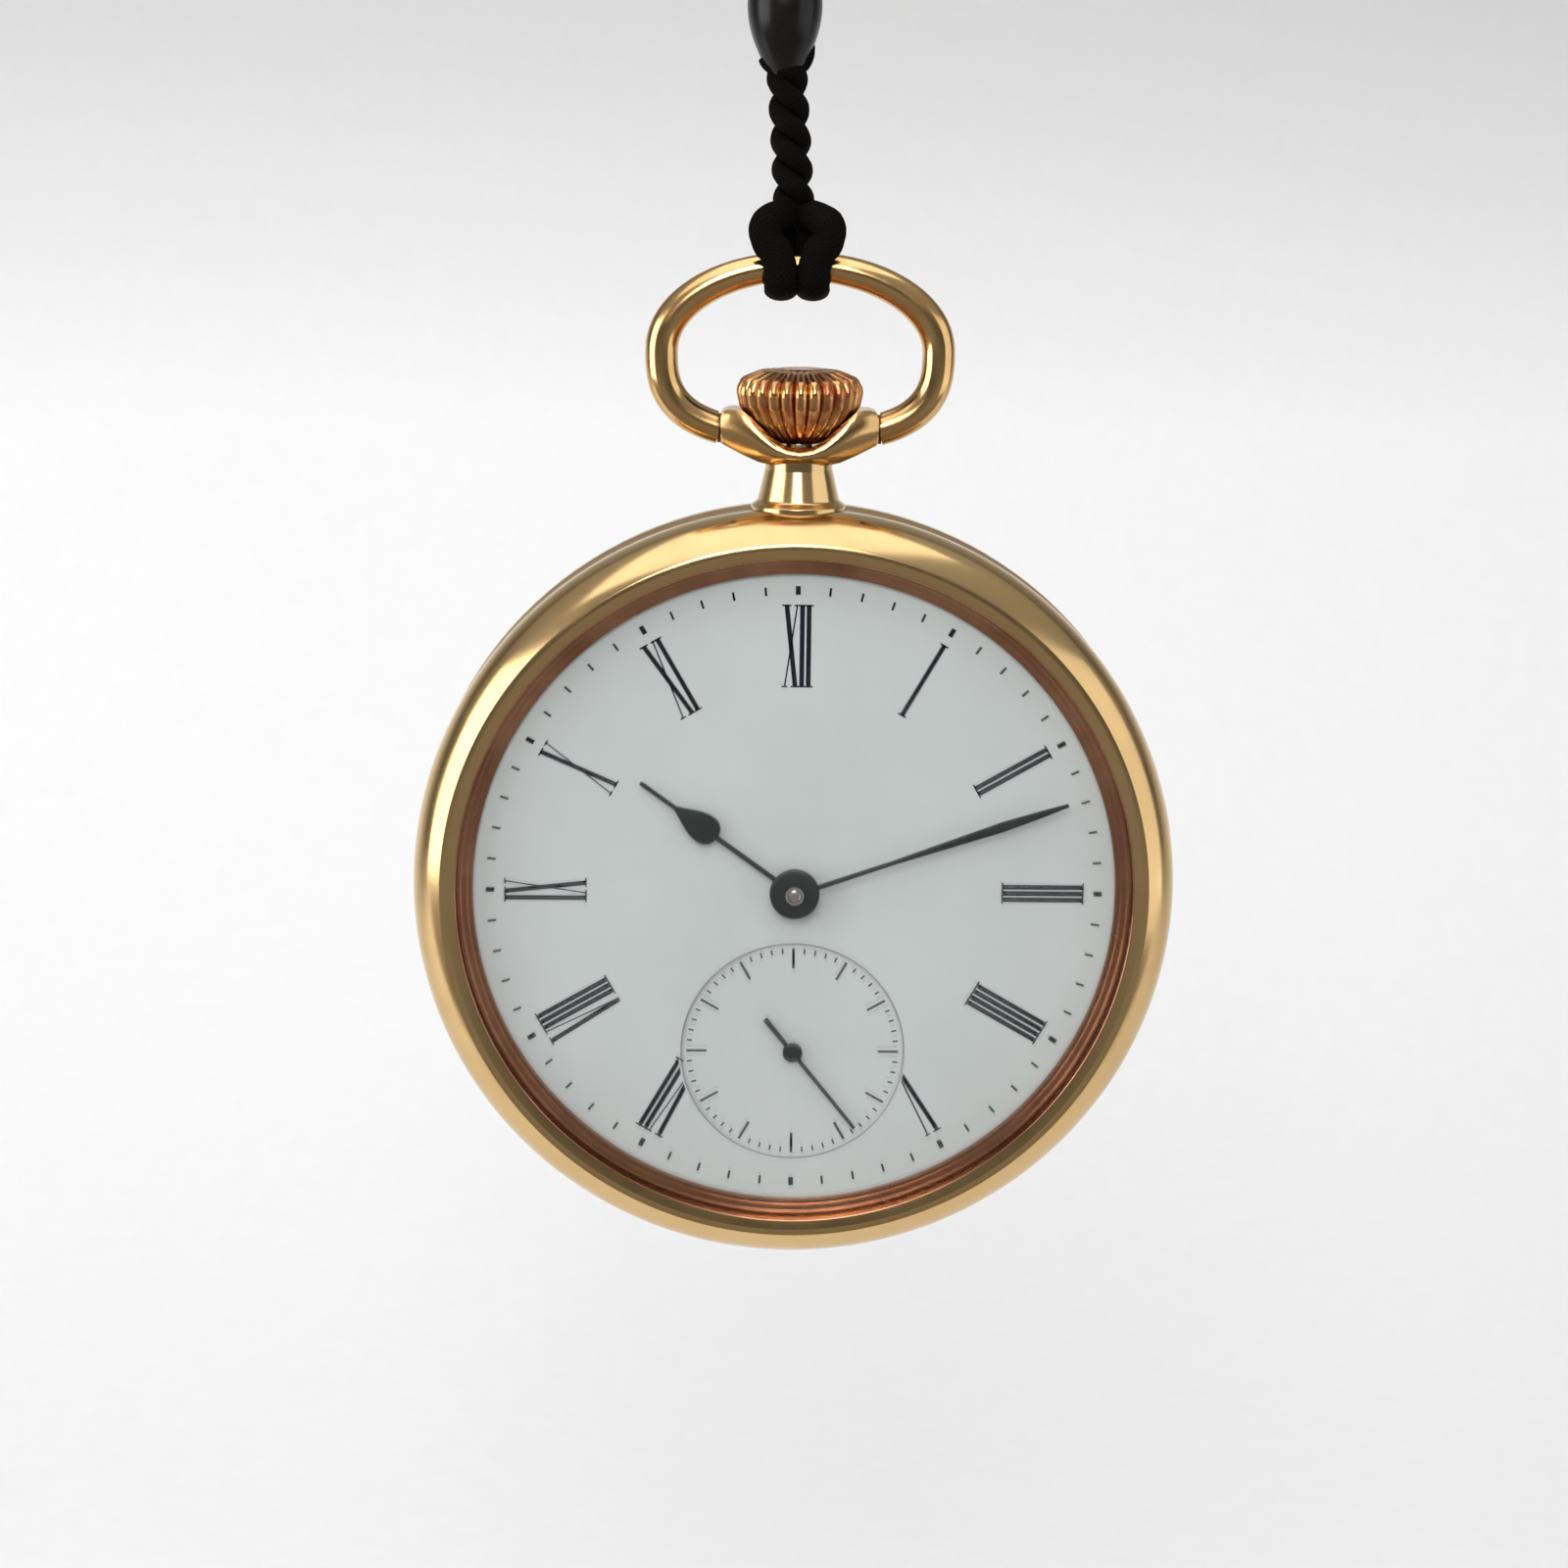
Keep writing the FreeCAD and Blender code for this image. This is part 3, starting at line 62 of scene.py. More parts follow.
def nodeGroup(name, inputs, outputs):
    # an empty group with its sockets, and the nodes at its two ends
    group = bpy.data.node_groups.new(name, "ShaderNodeTree")
    for label, kind, value in inputs:
        socket = group.interface.new_socket(label, in_out="INPUT", socket_type=kind)
        socket.default_value = value
    for label, kind in outputs:
        group.interface.new_socket(label, in_out="OUTPUT", socket_type=kind)
    return group, group.nodes.new("NodeGroupInput"), group.nodes.new("NodeGroupOutput")


def addNode(tree, kind, **values):
    # a node whose own settings, or else its sockets, take the given values
    node = tree.nodes.new(kind)
    for label, value in values.items():
        if hasattr(node, label):
            setattr(node, label, value)
        else:
            node.inputs[label.replace("_", " ")].default_value = value
    return node


def makeWearGroup():
    # wear = broad cloudy noise plus hair-fine scratches, each stretched one way
    group, given, made = nodeGroup("handlingWear", [
        ("Cloud Scale", "NodeSocketFloat", 300.0), ("Scratch Scale", "NodeSocketFloat", 2500.0),
        ("Roughness Low", "NodeSocketFloat", 0.12), ("Roughness High", "NodeSocketFloat", 0.28)],
        [("Roughness", "NodeSocketFloat"), ("Height", "NodeSocketFloat"),
         ("Mask", "NodeSocketFloat")])
    place = group.nodes.new("ShaderNodeTexCoord")
    cloud = addNode(group, "ShaderNodeTexNoise", Detail=6.0, Roughness=0.6)
    stretch = addNode(group, "ShaderNodeMapping", Rotation=(0.4, 0.2, 0.7),
                      Scale=(1.0, 0.12, 1.0))
    scratch = addNode(group, "ShaderNodeTexNoise", Detail=3.0, Roughness=0.7)
    link = group.links.new
    link(place.outputs["Object"], cloud.inputs["Vector"])
    link(given.outputs["Cloud Scale"], cloud.inputs["Scale"])
    link(place.outputs["Object"], stretch.inputs["Vector"])
    link(stretch.outputs["Vector"], scratch.inputs["Vector"])
    link(given.outputs["Scratch Scale"], scratch.inputs["Scale"])
    spread = addNode(group, "ShaderNodeMapRange")
    spread.inputs["From Min"].default_value = 0.35
    spread.inputs["From Max"].default_value = 0.7
    link(cloud.outputs["Fac"], spread.inputs["Value"])
    blend = addNode(group, "ShaderNodeMapRange")
    link(spread.outputs["Result"], blend.inputs["Value"])
    link(given.outputs["Roughness Low"], blend.inputs["To Min"])
    link(given.outputs["Roughness High"], blend.inputs["To Max"])
    link(blend.outputs["Result"], made.inputs["Roughness"])
    link(scratch.outputs["Fac"], made.inputs["Height"])
    link(spread.outputs["Result"], made.inputs["Mask"])
    return group


wearGroup = makeWearGroup()


def newMaterial(name):
    # a material, its tree, and its one shader
    material = bpy.data.materials.new(name)
    material.use_nodes = True
    tree = material.node_tree
    return material, tree, tree.nodes["Principled BSDF"]


def wornMaterial(name, look):
    # colour runs between two tints by the wear mask; roughness and a faint bump follow wear
    material, tree, shader = newMaterial(name)
    wear = tree.nodes.new("ShaderNodeGroup")
    wear.node_tree = wearGroup
    for label in ("Cloud Scale", "Scratch Scale", "Roughness Low", "Roughness High"):
        wear.inputs[label].default_value = look[label]
    tint = addNode(tree, "ShaderNodeMix", data_type="RGBA")
    tint.inputs["A"].default_value = (*look["light"], 1)
    tint.inputs["B"].default_value = (*look["dark"], 1)
    tree.links.new(wear.outputs["Mask"], tint.inputs["Factor"])
    tree.links.new(tint.outputs["Result"], shader.inputs["Base Color"])
    tree.links.new(wear.outputs["Roughness"], shader.inputs["Roughness"])
    bump = addNode(tree, "ShaderNodeBump", Strength=look["bump"], Distance=0.00002)
    tree.links.new(wear.outputs["Height"], bump.inputs["Height"])
    tree.links.new(bump.outputs["Normal"], shader.inputs["Normal"])
    shader.inputs["Metallic"].default_value = look["metal"]
    for label in ("Coat Weight", "Coat Roughness", "Sheen Weight", "Alpha",
                  "Transmission Weight", "IOR", "Specular IOR Level"):
        if label in look:
            shader.inputs[label].default_value = look[label]
    return material, tree, shader, wear, tint


def look(light, dark, low, high, metal=1.0, bump=0.05, cloud=250.0, scratch=2600.0, **more):
    # two tints, the roughness span that wear runs over, and any other sockets by name
    values = {"light": light, "dark": dark, "Roughness Low": low, "Roughness High": high,
              "metal": metal, "bump": bump, "Cloud Scale": cloud, "Scratch Scale": scratch}
    values.update(more)
    return values


finishes = {
    "caseGold": look((0.67, 0.465, 0.22), (0.63, 0.425, 0.195), 0.15, 0.24, bump=0.05),
    "bowGold": look((0.70, 0.47, 0.21), (0.58, 0.34, 0.135), 0.11, 0.27, bump=0.10),
    "crownGold": look((0.66, 0.38, 0.15), (0.36, 0.10, 0.045), 0.16, 0.38, bump=0.15,
                      cloud=900.0),
    # dark brown for the discs of painted shadow in the gaps between the bow's ends and the ears
    "gapShadowBrown": look((0.16, 0.085, 0.04), (0.10, 0.05, 0.025), 0.25, 0.45, bump=0.08),
    # a darker, rosier copy of the case gold: painted shade on the bezel's recessed inner lip and
    # steps
    "recessShadeGold": look((0.50, 0.26, 0.15), (0.34, 0.15, 0.08), 0.14, 0.28, bump=0.08),
    "blackLacquer": look((0.022, 0.027, 0.026), (0.034, 0.040, 0.038), 0.45, 0.6, metal=0.0,
                         bump=0.03, **{"Specular IOR Level": 0.25}),
    "dialInk": look((0.010, 0.011, 0.016), (0.022, 0.023, 0.032), 0.75, 0.9, metal=0.0,
                    bump=0.02, **{"Specular IOR Level": 0.1}),
    "greyInk": look((0.28, 0.28, 0.28), (0.36, 0.36, 0.36), 0.4, 0.55, metal=0.0, bump=0.02),
    "polishedSteel": look((0.70, 0.70, 0.71), (0.58, 0.58, 0.60), 0.10, 0.24, bump=0.05),
    "pinSteel": look((0.60, 0.58, 0.53), (0.42, 0.40, 0.37), 0.18, 0.34, bump=0.06),
    "giltBrass": look((0.82, 0.64, 0.34), (0.74, 0.55, 0.27), 0.18, 0.32, bump=0.06),
    "blueSteel": look((0.03, 0.05, 0.22), (0.02, 0.03, 0.14), 0.12, 0.22, bump=0.03),
    "ruby": look((0.55, 0.01, 0.10), (0.42, 0.01, 0.07), 0.04, 0.10, metal=0.0, bump=0.0,
                 **{"Coat Weight": 0.6}),
    "blackBead": look((0.0045, 0.0042, 0.004), (0.009, 0.008, 0.0075), 0.20, 0.38,
                      metal=0.0, bump=0.06, **{"Specular IOR Level": 0.25}),
    "enamel": look((0.63, 0.68, 0.675), (0.585, 0.635, 0.63), 0.30, 0.42, metal=0.0,
                   bump=0.02, cloud=120.0, scratch=5200.0,
                   **{"Coat Weight": 0.25, "Coat Roughness": 0.2}),
    "clearGlass": look((1.0, 1.0, 1.0), (0.97, 0.99, 1.0), 0.01, 0.04, metal=0.0, bump=0.0,
                       **{"Alpha": 0.12, "Transmission Weight": 1.0, "IOR": 1.45}),
}
materials = {name: wornMaterial(name, values)[0] for name, values in finishes.items()}


def makeStriped():
    # broad parallel stripes across the bridges: a wave along x, with fine brushing
    stripes = look((0.76, 0.75, 0.71), (0.66, 0.65, 0.61), 0.16, 0.30, bump=0.05)
    material, tree, shader, wear, tint = wornMaterial("stripedNickel", stripes)
    place = tree.nodes.new("ShaderNodeTexCoord")
    wave = addNode(tree, "ShaderNodeTexWave", Scale=95.0, Distortion=0.0)
    wave.bands_direction = "DIAGONAL"
    wave.wave_profile = "SAW"
    mix = addNode(tree, "ShaderNodeMix", data_type="RGBA", blend_type="MULTIPLY")
    mix.inputs["Factor"].default_value = 0.45
    tree.links.new(place.outputs["Object"], wave.inputs["Vector"])
    tree.links.new(tint.outputs["Result"], mix.inputs["A"])
    tree.links.new(wave.outputs["Color"], mix.inputs["B"])
    tree.links.new(mix.outputs["Result"], shader.inputs["Base Color"])
    return material


def makeBraid():
    # braid = two sets of slanted strands over and under, read from the cord's own UV map
    material, tree, shader = newMaterial("braidedCord")
    place = tree.nodes.new("ShaderNodeUVMap")
    place.uv_map = "alongCord"
    heights = []
    for slant in (0.75, -0.75):
        turn = addNode(tree, "ShaderNodeMapping", Rotation=(0.0, 0.0, slant))
        wave = addNode(tree, "ShaderNodeTexWave", Scale=0.55, Distortion=1.2)
        wave.inputs["Detail"].default_value = 2.0
        wave.inputs["Detail Scale"].default_value = 3.0
        tree.links.new(place.outputs["UV"], turn.inputs["Vector"])
        tree.links.new(turn.outputs["Vector"], wave.inputs["Vector"])
        heights.append(wave.outputs["Fac"])
    top = addNode(tree, "ShaderNodeMath", operation="MAXIMUM")
    tree.links.new(heights[0], top.inputs[0])
    tree.links.new(heights[1], top.inputs[1])
    fuzz = addNode(tree, "ShaderNodeTexNoise", Scale=14.0, Detail=6.0, Roughness=0.75)
    tree.links.new(place.outputs["UV"], fuzz.inputs["Vector"])
    total = addNode(tree, "ShaderNodeMath", operation="MULTIPLY_ADD")
    total.inputs[1].default_value = 0.8
    tree.links.new(fuzz.outputs["Fac"], total.inputs[0])
    tree.links.new(top.outputs["Value"], total.inputs[2])
    # colour follows the braid's height, darkest where it is low: painted shade in the grooves
    # between strands, with random tone from the fuzz noise
    ramp = tree.nodes.new("ShaderNodeValToRGB")
    ramp.color_ramp.elements[0].position = 0.35
    ramp.color_ramp.elements[0].color = (0.0012, 0.0009, 0.0008, 1)
    ramp.color_ramp.elements[1].position = 1.0
    ramp.color_ramp.elements[1].color = (0.0042, 0.0032, 0.0028, 1)
    tree.links.new(total.outputs["Value"], ramp.inputs["Fac"])
    tree.links.new(ramp.outputs["Color"], shader.inputs["Base Color"])
    bump = addNode(tree, "ShaderNodeBump", Strength=0.7, Distance=0.00008)
    tree.links.new(total.outputs["Value"], bump.inputs["Height"])
    tree.links.new(bump.outputs["Normal"], shader.inputs["Normal"])
    shader.inputs["Roughness"].default_value = 0.72
    shader.inputs["Specular IOR Level"].default_value = 0.05
    return material


materials["stripedNickel"] = makeStriped()
materials["braidedCord"] = makeBraid()
print("materials ready")


def finishPiece(mesh, name, finish, body, replaced=(), smooth=True):
    # welds, turns faces outward, gives the finish, ties the piece to its body, and hides the
    # pieces it replaces
    made = bmesh.new()
    made.from_mesh(mesh)
    bmesh.ops.remove_doubles(made, verts=made.verts, dist=1e-8)
    bmesh.ops.dissolve_degenerate(made, dist=1e-9, edges=made.edges)
    bmesh.ops.recalc_face_normals(made, faces=made.faces)
    made.to_mesh(mesh)
    made.free()
    mesh.polygons.foreach_set("use_smooth", [smooth] * len(mesh.polygons))
    mesh.materials.append(materials[finish])
    piece = bpy.data.objects.new(name, mesh)
    bpy.context.scene.collection.objects.link(piece)
    if smooth:
        mesh.set_sharp_from_angle(angle=math.radians(35))
    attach(piece, body)
    if replaced:
        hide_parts(*replaced)
    return piece


def gridMesh(name, points, wrapAcross=True, wrapAlong=False, uvName=None):
    # points[i, j] is the surface at step i along and step j across; each cell is a quad
    along, across = points.shape[:2]
    i = np.arange(along if wrapAlong else along - 1)
    j = np.arange(across if wrapAcross else across - 1)
    i, j = np.meshgrid(i, j, indexing="ij")
    nextI, nextJ = (i + 1) % along, (j + 1) % across
    faces = np.stack((i * across + j, i * across + nextJ, nextI * across + nextJ,
                      nextI * across + j), axis=-1).reshape(-1, 4)
    mesh = bpy.data.meshes.new(name)
    mesh.from_pydata(toWorld(points), [], faces.tolist())
    if uvName:
        layer = mesh.uv_layers.new(name=uvName)
        u = np.stack((j, j + 1, j + 1, j), axis=-1).reshape(-1) / across
        v = np.stack((i, i, i + 1, i + 1), axis=-1).reshape(-1) / along
        layer.data.foreach_set("uv", np.column_stack((u, v)).ravel())
    return mesh


def rounded(corners, steps=6):
    # a polyline whose corner (x, y, r) is an arc of radius r, tangent to both its sides
    corners = [np.array(corner, float) for corner in corners]
    line = [corners[0][:2]]
    for before, corner, after in zip(corners, corners[1:], corners[2:]):
        radius = corner[2] if len(corner) > 2 else 0
        if radius == 0:
            line.append(corner[:2])
            continue
        back, ahead = before[:2] - corner[:2], after[:2] - corner[:2]
        backLong, aheadLong = np.linalg.norm(back), np.linalg.norm(ahead)
        back, ahead = back / backLong, ahead / aheadLong
        half = math.acos(np.clip(back @ ahead, -1, 1)) / 2
        reach = min(radius / math.tan(half), 0.49 * backLong, 0.49 * aheadLong)
        start, stop = corner[:2] + back * reach, corner[:2] + ahead * reach
        share = np.linspace(0, 1, steps + 1)[:, None]
        line.extend((1 - share) ** 2 * start + 2 * share * (1 - share) * corner[:2]
                    + share ** 2 * stop)
    line.append(corners[-1][:2])
    return np.array(line)


def bulge(start, stop, rise, steps=24):
    # an arc from start to stop that stands rise off its chord, to its left
    start, stop = np.array(start, float), np.array(stop, float)
    share = np.linspace(0, 1, steps + 1)[:, None]
    chord = stop - start
    left = np.array([-chord[1], chord[0]]) / np.linalg.norm(chord)
    return start + share * chord + left * rise * 4 * share * (1 - share)


def turnedMesh(name, profile, axis="z", segments=256, level=0.0, centre=(0.0, 0.0)):
    # a profile (radius, height) carried round the upright axis, or round the stem's axis
    angle = np.linspace(0, 2 * math.pi, segments, endpoint=False)
    radius, height = profile[:, :1], profile[:, 1:2]
    first, second = radius * np.cos(angle), radius * np.sin(angle)
    rise = np.broadcast_to(height, first.shape)
    if axis == "z":
        points = np.stack((first + centre[0], second + centre[1], rise), axis=-1)
    else:
        points = np.stack((first + centre[0], rise, second + level), axis=-1)
    return gridMesh(name, points)


def prismMesh(name, quads, low, high):
    # flat four-cornered strokes, raised from low to high, as closed blocks
    quads = np.asarray(quads, float)
    count = len(quads)
    bottom = np.concatenate((quads, np.full((count, 4, 1), low)), axis=2)
    top = np.concatenate((quads, np.full((count, 4, 1), high)), axis=2)
    points = np.concatenate((bottom, top), axis=1).reshape(-1, 3)
    cell = np.array([[3, 2, 1, 0], [4, 5, 6, 7], [0, 1, 5, 4], [1, 2, 6, 5], [2, 3, 7, 6],
                     [3, 0, 4, 7]])
    faces = (cell[None] + 8 * np.arange(count)[:, None, None]).reshape(-1, 4)
    mesh = bpy.data.meshes.new(name)
    mesh.from_pydata(toWorld(points), [], faces.tolist())
    return mesh


def tubePoints(path, sections, reference):
    # carries closed sections (along, around, 2) on a path, with frames kept from twisting
    tangent = np.gradient(path, axis=0)
    tangent /= np.linalg.norm(tangent, axis=1, keepdims=True)
    side = np.zeros_like(path)
    side[0] = np.cross(tangent[0], reference)
    side[0] /= np.linalg.norm(side[0])
    for index in range(1, len(path)):
        flat = side[index - 1] - (side[index - 1] @ tangent[index]) * tangent[index]
        side[index] = flat / np.linalg.norm(flat)
    other = np.cross(tangent, side)
    return (path[:, None] + sections[..., :1] * side[:, None]
            + sections[..., 1:] * other[:, None])


bezelSizes = {"outer": 22.25, "seam": -1.86, "rollTop": 1.62, "rollInner": 20.5, "lip": 19.62,
              "opening": 18.7, "floor": 0.1, "stepWide": 0.33, "stepHigh": 0.2, "seat": 20.6,
              "glassRim": 19.75, "glassSeat": 0.78, "glassTop": 1.25, "domeTop": 2.42,
              "domeUnder": 1.69}


def makeBezel():
    # one closed turned ring: seam, rolled outside, lip, glass rebate, then three steps down
    s = bezelSizes
    roll = bulge((s["outer"], s["seam"] + 0.12), (s["rollInner"], s["rollTop"]), -0.62, 40)
    steps = []
    for step in (2, 1, 0):
        edge = s["opening"] + step * s["stepWide"]
        high = s["floor"] + (step + 1) * s["stepHigh"]
        steps += [(edge + 0.05, high, 0.04), (edge, high, 0.05),
                  (edge, high - s["stepHigh"] + 0.02, 0.04)]
    rebate = s["glassRim"] + 0.05
    mouth = [(s["rollInner"], s["rollTop"]), (s["rollInner"] - 0.3, s["rollTop"], 0.3),
             (s["lip"], s["rollTop"] - 0.12, 0.1), (s["lip"], 1.32, 0.05), (rebate, 1.3),
             (rebate, 0.74), (19.4, 0.74, 0.04)]
    inner = rounded(mouth + steps + [(s["opening"], s["floor"])], 5)
    gold = np.vstack((np.array([(s["seat"], s["floor"]), (s["seat"], s["seam"]),
                                (s["outer"] - 0.06, s["seam"]),
                                (s["outer"], s["seam"] + 0.06)]), roll, inner[1:],
                      np.array([(s["seat"], s["floor"])])))
    mesh = turnedMesh("bezelRing", gold, segments=384)
    piece = finishPiece(mesh, "bezelRing", "caseGold", "case", ["bezel"])
    mesh.materials.append(materials["recessShadeGold"])
    # faces inside the lip and above the dial take the darker gold, as painted shade of the recess
    middle = np.array(dialCentre)
    places = np.array([polygon.center for polygon in mesh.polygons])
    spread = np.hypot(places[:, 0] - middle[0], places[:, 2] - middle[2]) / mm
    inside = (spread < s["lip"] + 0.12) & (places[:, 1] < middle[1])
    mesh.polygons.foreach_set("material_index", inside.astype(np.int32))
    return piece


def makeGlass():
    # dome height = edge + rise * (1 - (r / rim)^2), outside and inside
    s = bezelSizes
    dome = bulge((s["glassRim"], s["glassTop"]), (0.0, s["domeTop"]), 0.0, 40)
    dome[:, 1] = s["glassTop"] + (s["domeTop"] - s["glassTop"]) * (
        1 - (dome[:, 0] / s["glassRim"]) ** 2)
    under = dome[::-1].copy() * [0.985, 1]
    under[:, 1] = s["glassSeat"] + (s["domeUnder"] - s["glassSeat"]) * (
        1 - (under[:, 0] / s["glassRim"]) ** 2)
    rim = np.array([(s["glassRim"] - 0.1, s["glassSeat"]), (s["glassRim"], s["glassSeat"] + 0.1)])
    mesh = turnedMesh("watchGlass", np.vstack((dome, under, rim, dome[:1])), segments=192)
    return finishPiece(mesh, "watchGlass", "clearGlass", "case", ["crystal"])


makeBezel()
makeGlass()
print("bezel and glass made")


bowSizes = {"wide": 7.92, "tall": 4.8, "centre": 31.1, "reach": 0.575,
            "squareness": 2.8, "pivot": 26.7, "topRadius": 0.8,
            "sideRadius": 0.94, "endRadius": 0.93, "earFace": 4.63,
            "shadowDisc": (4.40, 4.70, 0.84)}  # the dark disc of painted shadow in each gap: near face, far face, radius


def makeBow():
    # |x/wide|^n + |y/tall|^n = 1, with n = 2 above and squareness below; the wire radius
    # follows |cos| of its angle: thin at the top, full at the sides
    s = bowSizes
    low = -math.acos(s["reach"] ** (s["squareness"] / 2))
    angle = np.linspace(low, math.pi - low, 1201)
    power = 2 / np.where(np.sin(angle) < 0, s["squareness"], 2.0)
    across = s["wide"] * np.sign(np.cos(angle)) * np.abs(np.cos(angle)) ** power
    high = s["centre"] + s["tall"] * np.sign(np.sin(angle)) * np.abs(np.sin(angle)) ** power
    reach = np.concatenate(([0], np.cumsum(np.hypot(np.diff(across), np.diff(high)))))
    even = np.linspace(0, reach[-1], 261)
    angle = np.interp(even, reach, angle)
    path = np.column_stack((np.interp(even, reach, across), np.interp(even, reach, high),
                            np.full(261, stemLevel)))
    path[2:-2] = (path[:-4] + path[1:-3] + path[2:-2] + path[3:-1] + path[4:]) / 5
    radius = s["topRadius"] + (s["sideRadius"] - s["topRadius"]) * np.abs(np.cos(angle)) ** 0.8
    below = np.clip((s["centre"] - path[:, 1]) / s["tall"], 0, 1)
    radius += (s["endRadius"] - radius) * below ** 2
    around = np.linspace(0, 2 * math.pi, 40, endpoint=False)
    ring = np.stack((np.cos(around), np.sin(around)), axis=-1)
    points = tubePoints(path, radius[:, None, None] * ring[None], (0, 0, 1.0))
    # both ends stop flat against the ears
    points[..., 0] = np.where(path[:, None, 1] < s["centre"] - 3,
                              np.sign(points[..., 0])
                              * np.maximum(np.abs(points[..., 0]), s["earFace"]),
                              points[..., 0])
    for end in (0, -1):
        centre = points[end].mean(axis=0, keepdims=True)
        centre[:, 0] = np.sign(centre[:, 0]) * s["earFace"]
        cap = np.broadcast_to(centre, points[end].shape)[None]
        points = np.concatenate((cap, points) if end == 0 else (points, cap))
    # a thin dark disc darkens each gap; these stand in for its shadow, not for real pieces
    for name, sign in (("leftGapShadow", -1), ("rightGapShadow", 1)):
        near, far, wide = s["shadowDisc"]
        line = rounded([(0, near), (wide, near, 0.02), (wide, far, 0.02), (0, far)], 3)
        spot = line[:, :1] * ring[:, 0]
        disc = np.stack((np.broadcast_to(sign * line[:, 1:], spot.shape),
                         spot + s["pivot"], line[:, :1] * ring[:, 1] + stemLevel), axis=-1)
        finishPiece(gridMesh(name, disc), name, "gapShadowBrown", "bow")
    mesh = gridMesh("bowWire", points)
    return finishPiece(mesh, "bowWire", "bowGold", "bow", ["bow"])


crownSizes = {"foot": 25.86, "footRadius": 0.9, "radius": 3.65, "waist": 28.95,
              "top": 30.02, "capRadius": 1.28, "capTop": 30.14, "ribs": 26, "depth": 0.36}


def makeCrown():
    # radius = onion profile minus depth times a narrow groove between round ribs
    s = crownSizes
    side = rounded([(0.0, s["foot"]), (s["footRadius"], s["foot"], 0.1),
                    (1.31, 25.93, 0.2), (2.06, 26.36, 0.5), (2.82, 27.08, 1.0),
                    (3.50, 28.05, 0.8), (s["radius"] + 0.04, 28.95, 0.9),
                    (3.36, 29.60, 0.6), (2.3, 30.04, 0.6), (s["capRadius"] + 0.1, 30.07, 0.1),
                    (s["capRadius"], s["capTop"], 0.05), (0.0, s["capTop"])], 8)
    angle = np.linspace(0, 2 * math.pi, s["ribs"] * 14, endpoint=False)
    lobe = np.abs(np.cos(angle * s["ribs"] / 2)) ** 0.55
    radius, height = side[:, :1], side[:, 1:2]
    fade = np.clip((radius - s["capRadius"] - 0.02) / 0.7, 0, 1)
    depth = s["depth"] * fade * np.clip(radius / s["radius"], 0, 1) ** 0.5
    full = radius - depth * (1 - lobe[None])
    rise = np.broadcast_to(height, full.shape)
    top = (height > s["waist"]) * 0.5 * depth * (1 - lobe[None])
    points = np.stack((full * np.sin(angle), rise - top, full * np.cos(angle) + stemLevel),
                      axis=-1)
    return finishPiece(gridMesh("flutedCrown", points), "flutedCrown", "crownGold", "crown",
                       ["crown"])


pendantSizes = {"earFace": 4.5, "depth": 2.1, "earDepth": 1.12, "flare": 2.75,
                "waist": 1.92, "bore": 0.9, "groove": 0.13}
saddleTop = [(0, 25.71), (0.7, 25.83), (1.34, 26.16), (2.08, 26.79), (2.74, 27.43),
             (3.2, 27.76), (3.6, 27.88), (4.0, 27.88), (4.36, 27.76), (4.5, 27.55)]
saddleFoot = [(0, 24.72), (1.6, 24.74), (2.3, 24.88), (3.18, 25.25), (4.42, 25.86),
              (4.5, 25.98)]
crownFoot = [(0, 25.86), (1.31, 25.93), (2.06, 26.36), (2.82, 27.08), (3.5, 28.05),
             (4.5, 29.0)]


def makePendant():
    # the saddle's section at each x: flat foot, bulged flanks, and a top hollowed by
    # (w / depth)^2 so that the crown sits in it; the neck is turned about the stem's axis
    s = pendantSizes
    half = np.concatenate((np.linspace(0, 4.2, 43)[:-1], np.linspace(4.2, s["earFace"], 10)))
    x = np.concatenate((-half[::-1], half[1:]))
    side = np.abs(x)
    top = np.interp(side, *zip(*saddleTop))
    foot = np.interp(side, *zip(*saddleFoot))
    hollow = np.minimum(top - 0.02, np.interp(side, *zip(*crownFoot)) - s["groove"])
    depth = s["depth"] - (s["depth"] - s["earDepth"]) * (side / s["earFace"]) ** 2
    share = np.linspace(0, 1, 13)
    flankWide = 0.72 + 0.2 * share + 0.26 * np.sin(math.pi * share) ** 0.8
    across = np.linspace(1, -1, 25)[1:-1]
    wide = np.concatenate((flankWide, 0.92 * across, -flankWide[::-1],
                           np.linspace(-0.72, 0.72, 9)[1:-1]))
    topShape = np.concatenate((share * 0 + 1, across ** 2, share * 0 + 1, np.ones(7)))
    rise = np.concatenate((share, np.ones(23), share[::-1], np.zeros(7)))
    edge = hollow[:, None] + (top - hollow)[:, None] * topShape[None]
    high = foot[:, None] + (edge - foot[:, None]) * rise[None]
    points = np.stack((np.broadcast_to(x[:, None], high.shape), high,
                       stemLevel + depth[:, None] * wide[None]), axis=-1)
    ends = [np.broadcast_to(points[end].mean(axis=0), points[end].shape)[None]
            for end in (0, -1)]
    mesh = gridMesh("saddle", np.concatenate((ends[0], points, ends[1])))
    finishPiece(mesh, "saddle", "bowGold", "case", ["pendant"])
    line = rounded([(s["flare"], 21.95), (s["flare"], 22.32, 0.1), (2.36, 22.62, 0.3),
                    (s["waist"] + 0.02, 24.4, 0.4), (s["waist"], 24.9), (s["bore"], 24.9),
                    (s["bore"], 21.95)], 6)
    neck = turnedMesh("neck", np.vstack((line, line[:1])), axis="y", segments=96,
                      level=stemLevel)
    finishPiece(neck, "neck", "caseGold", "case")


makeBow()
makeCrown()
makePendant()
print("bow and crown made")


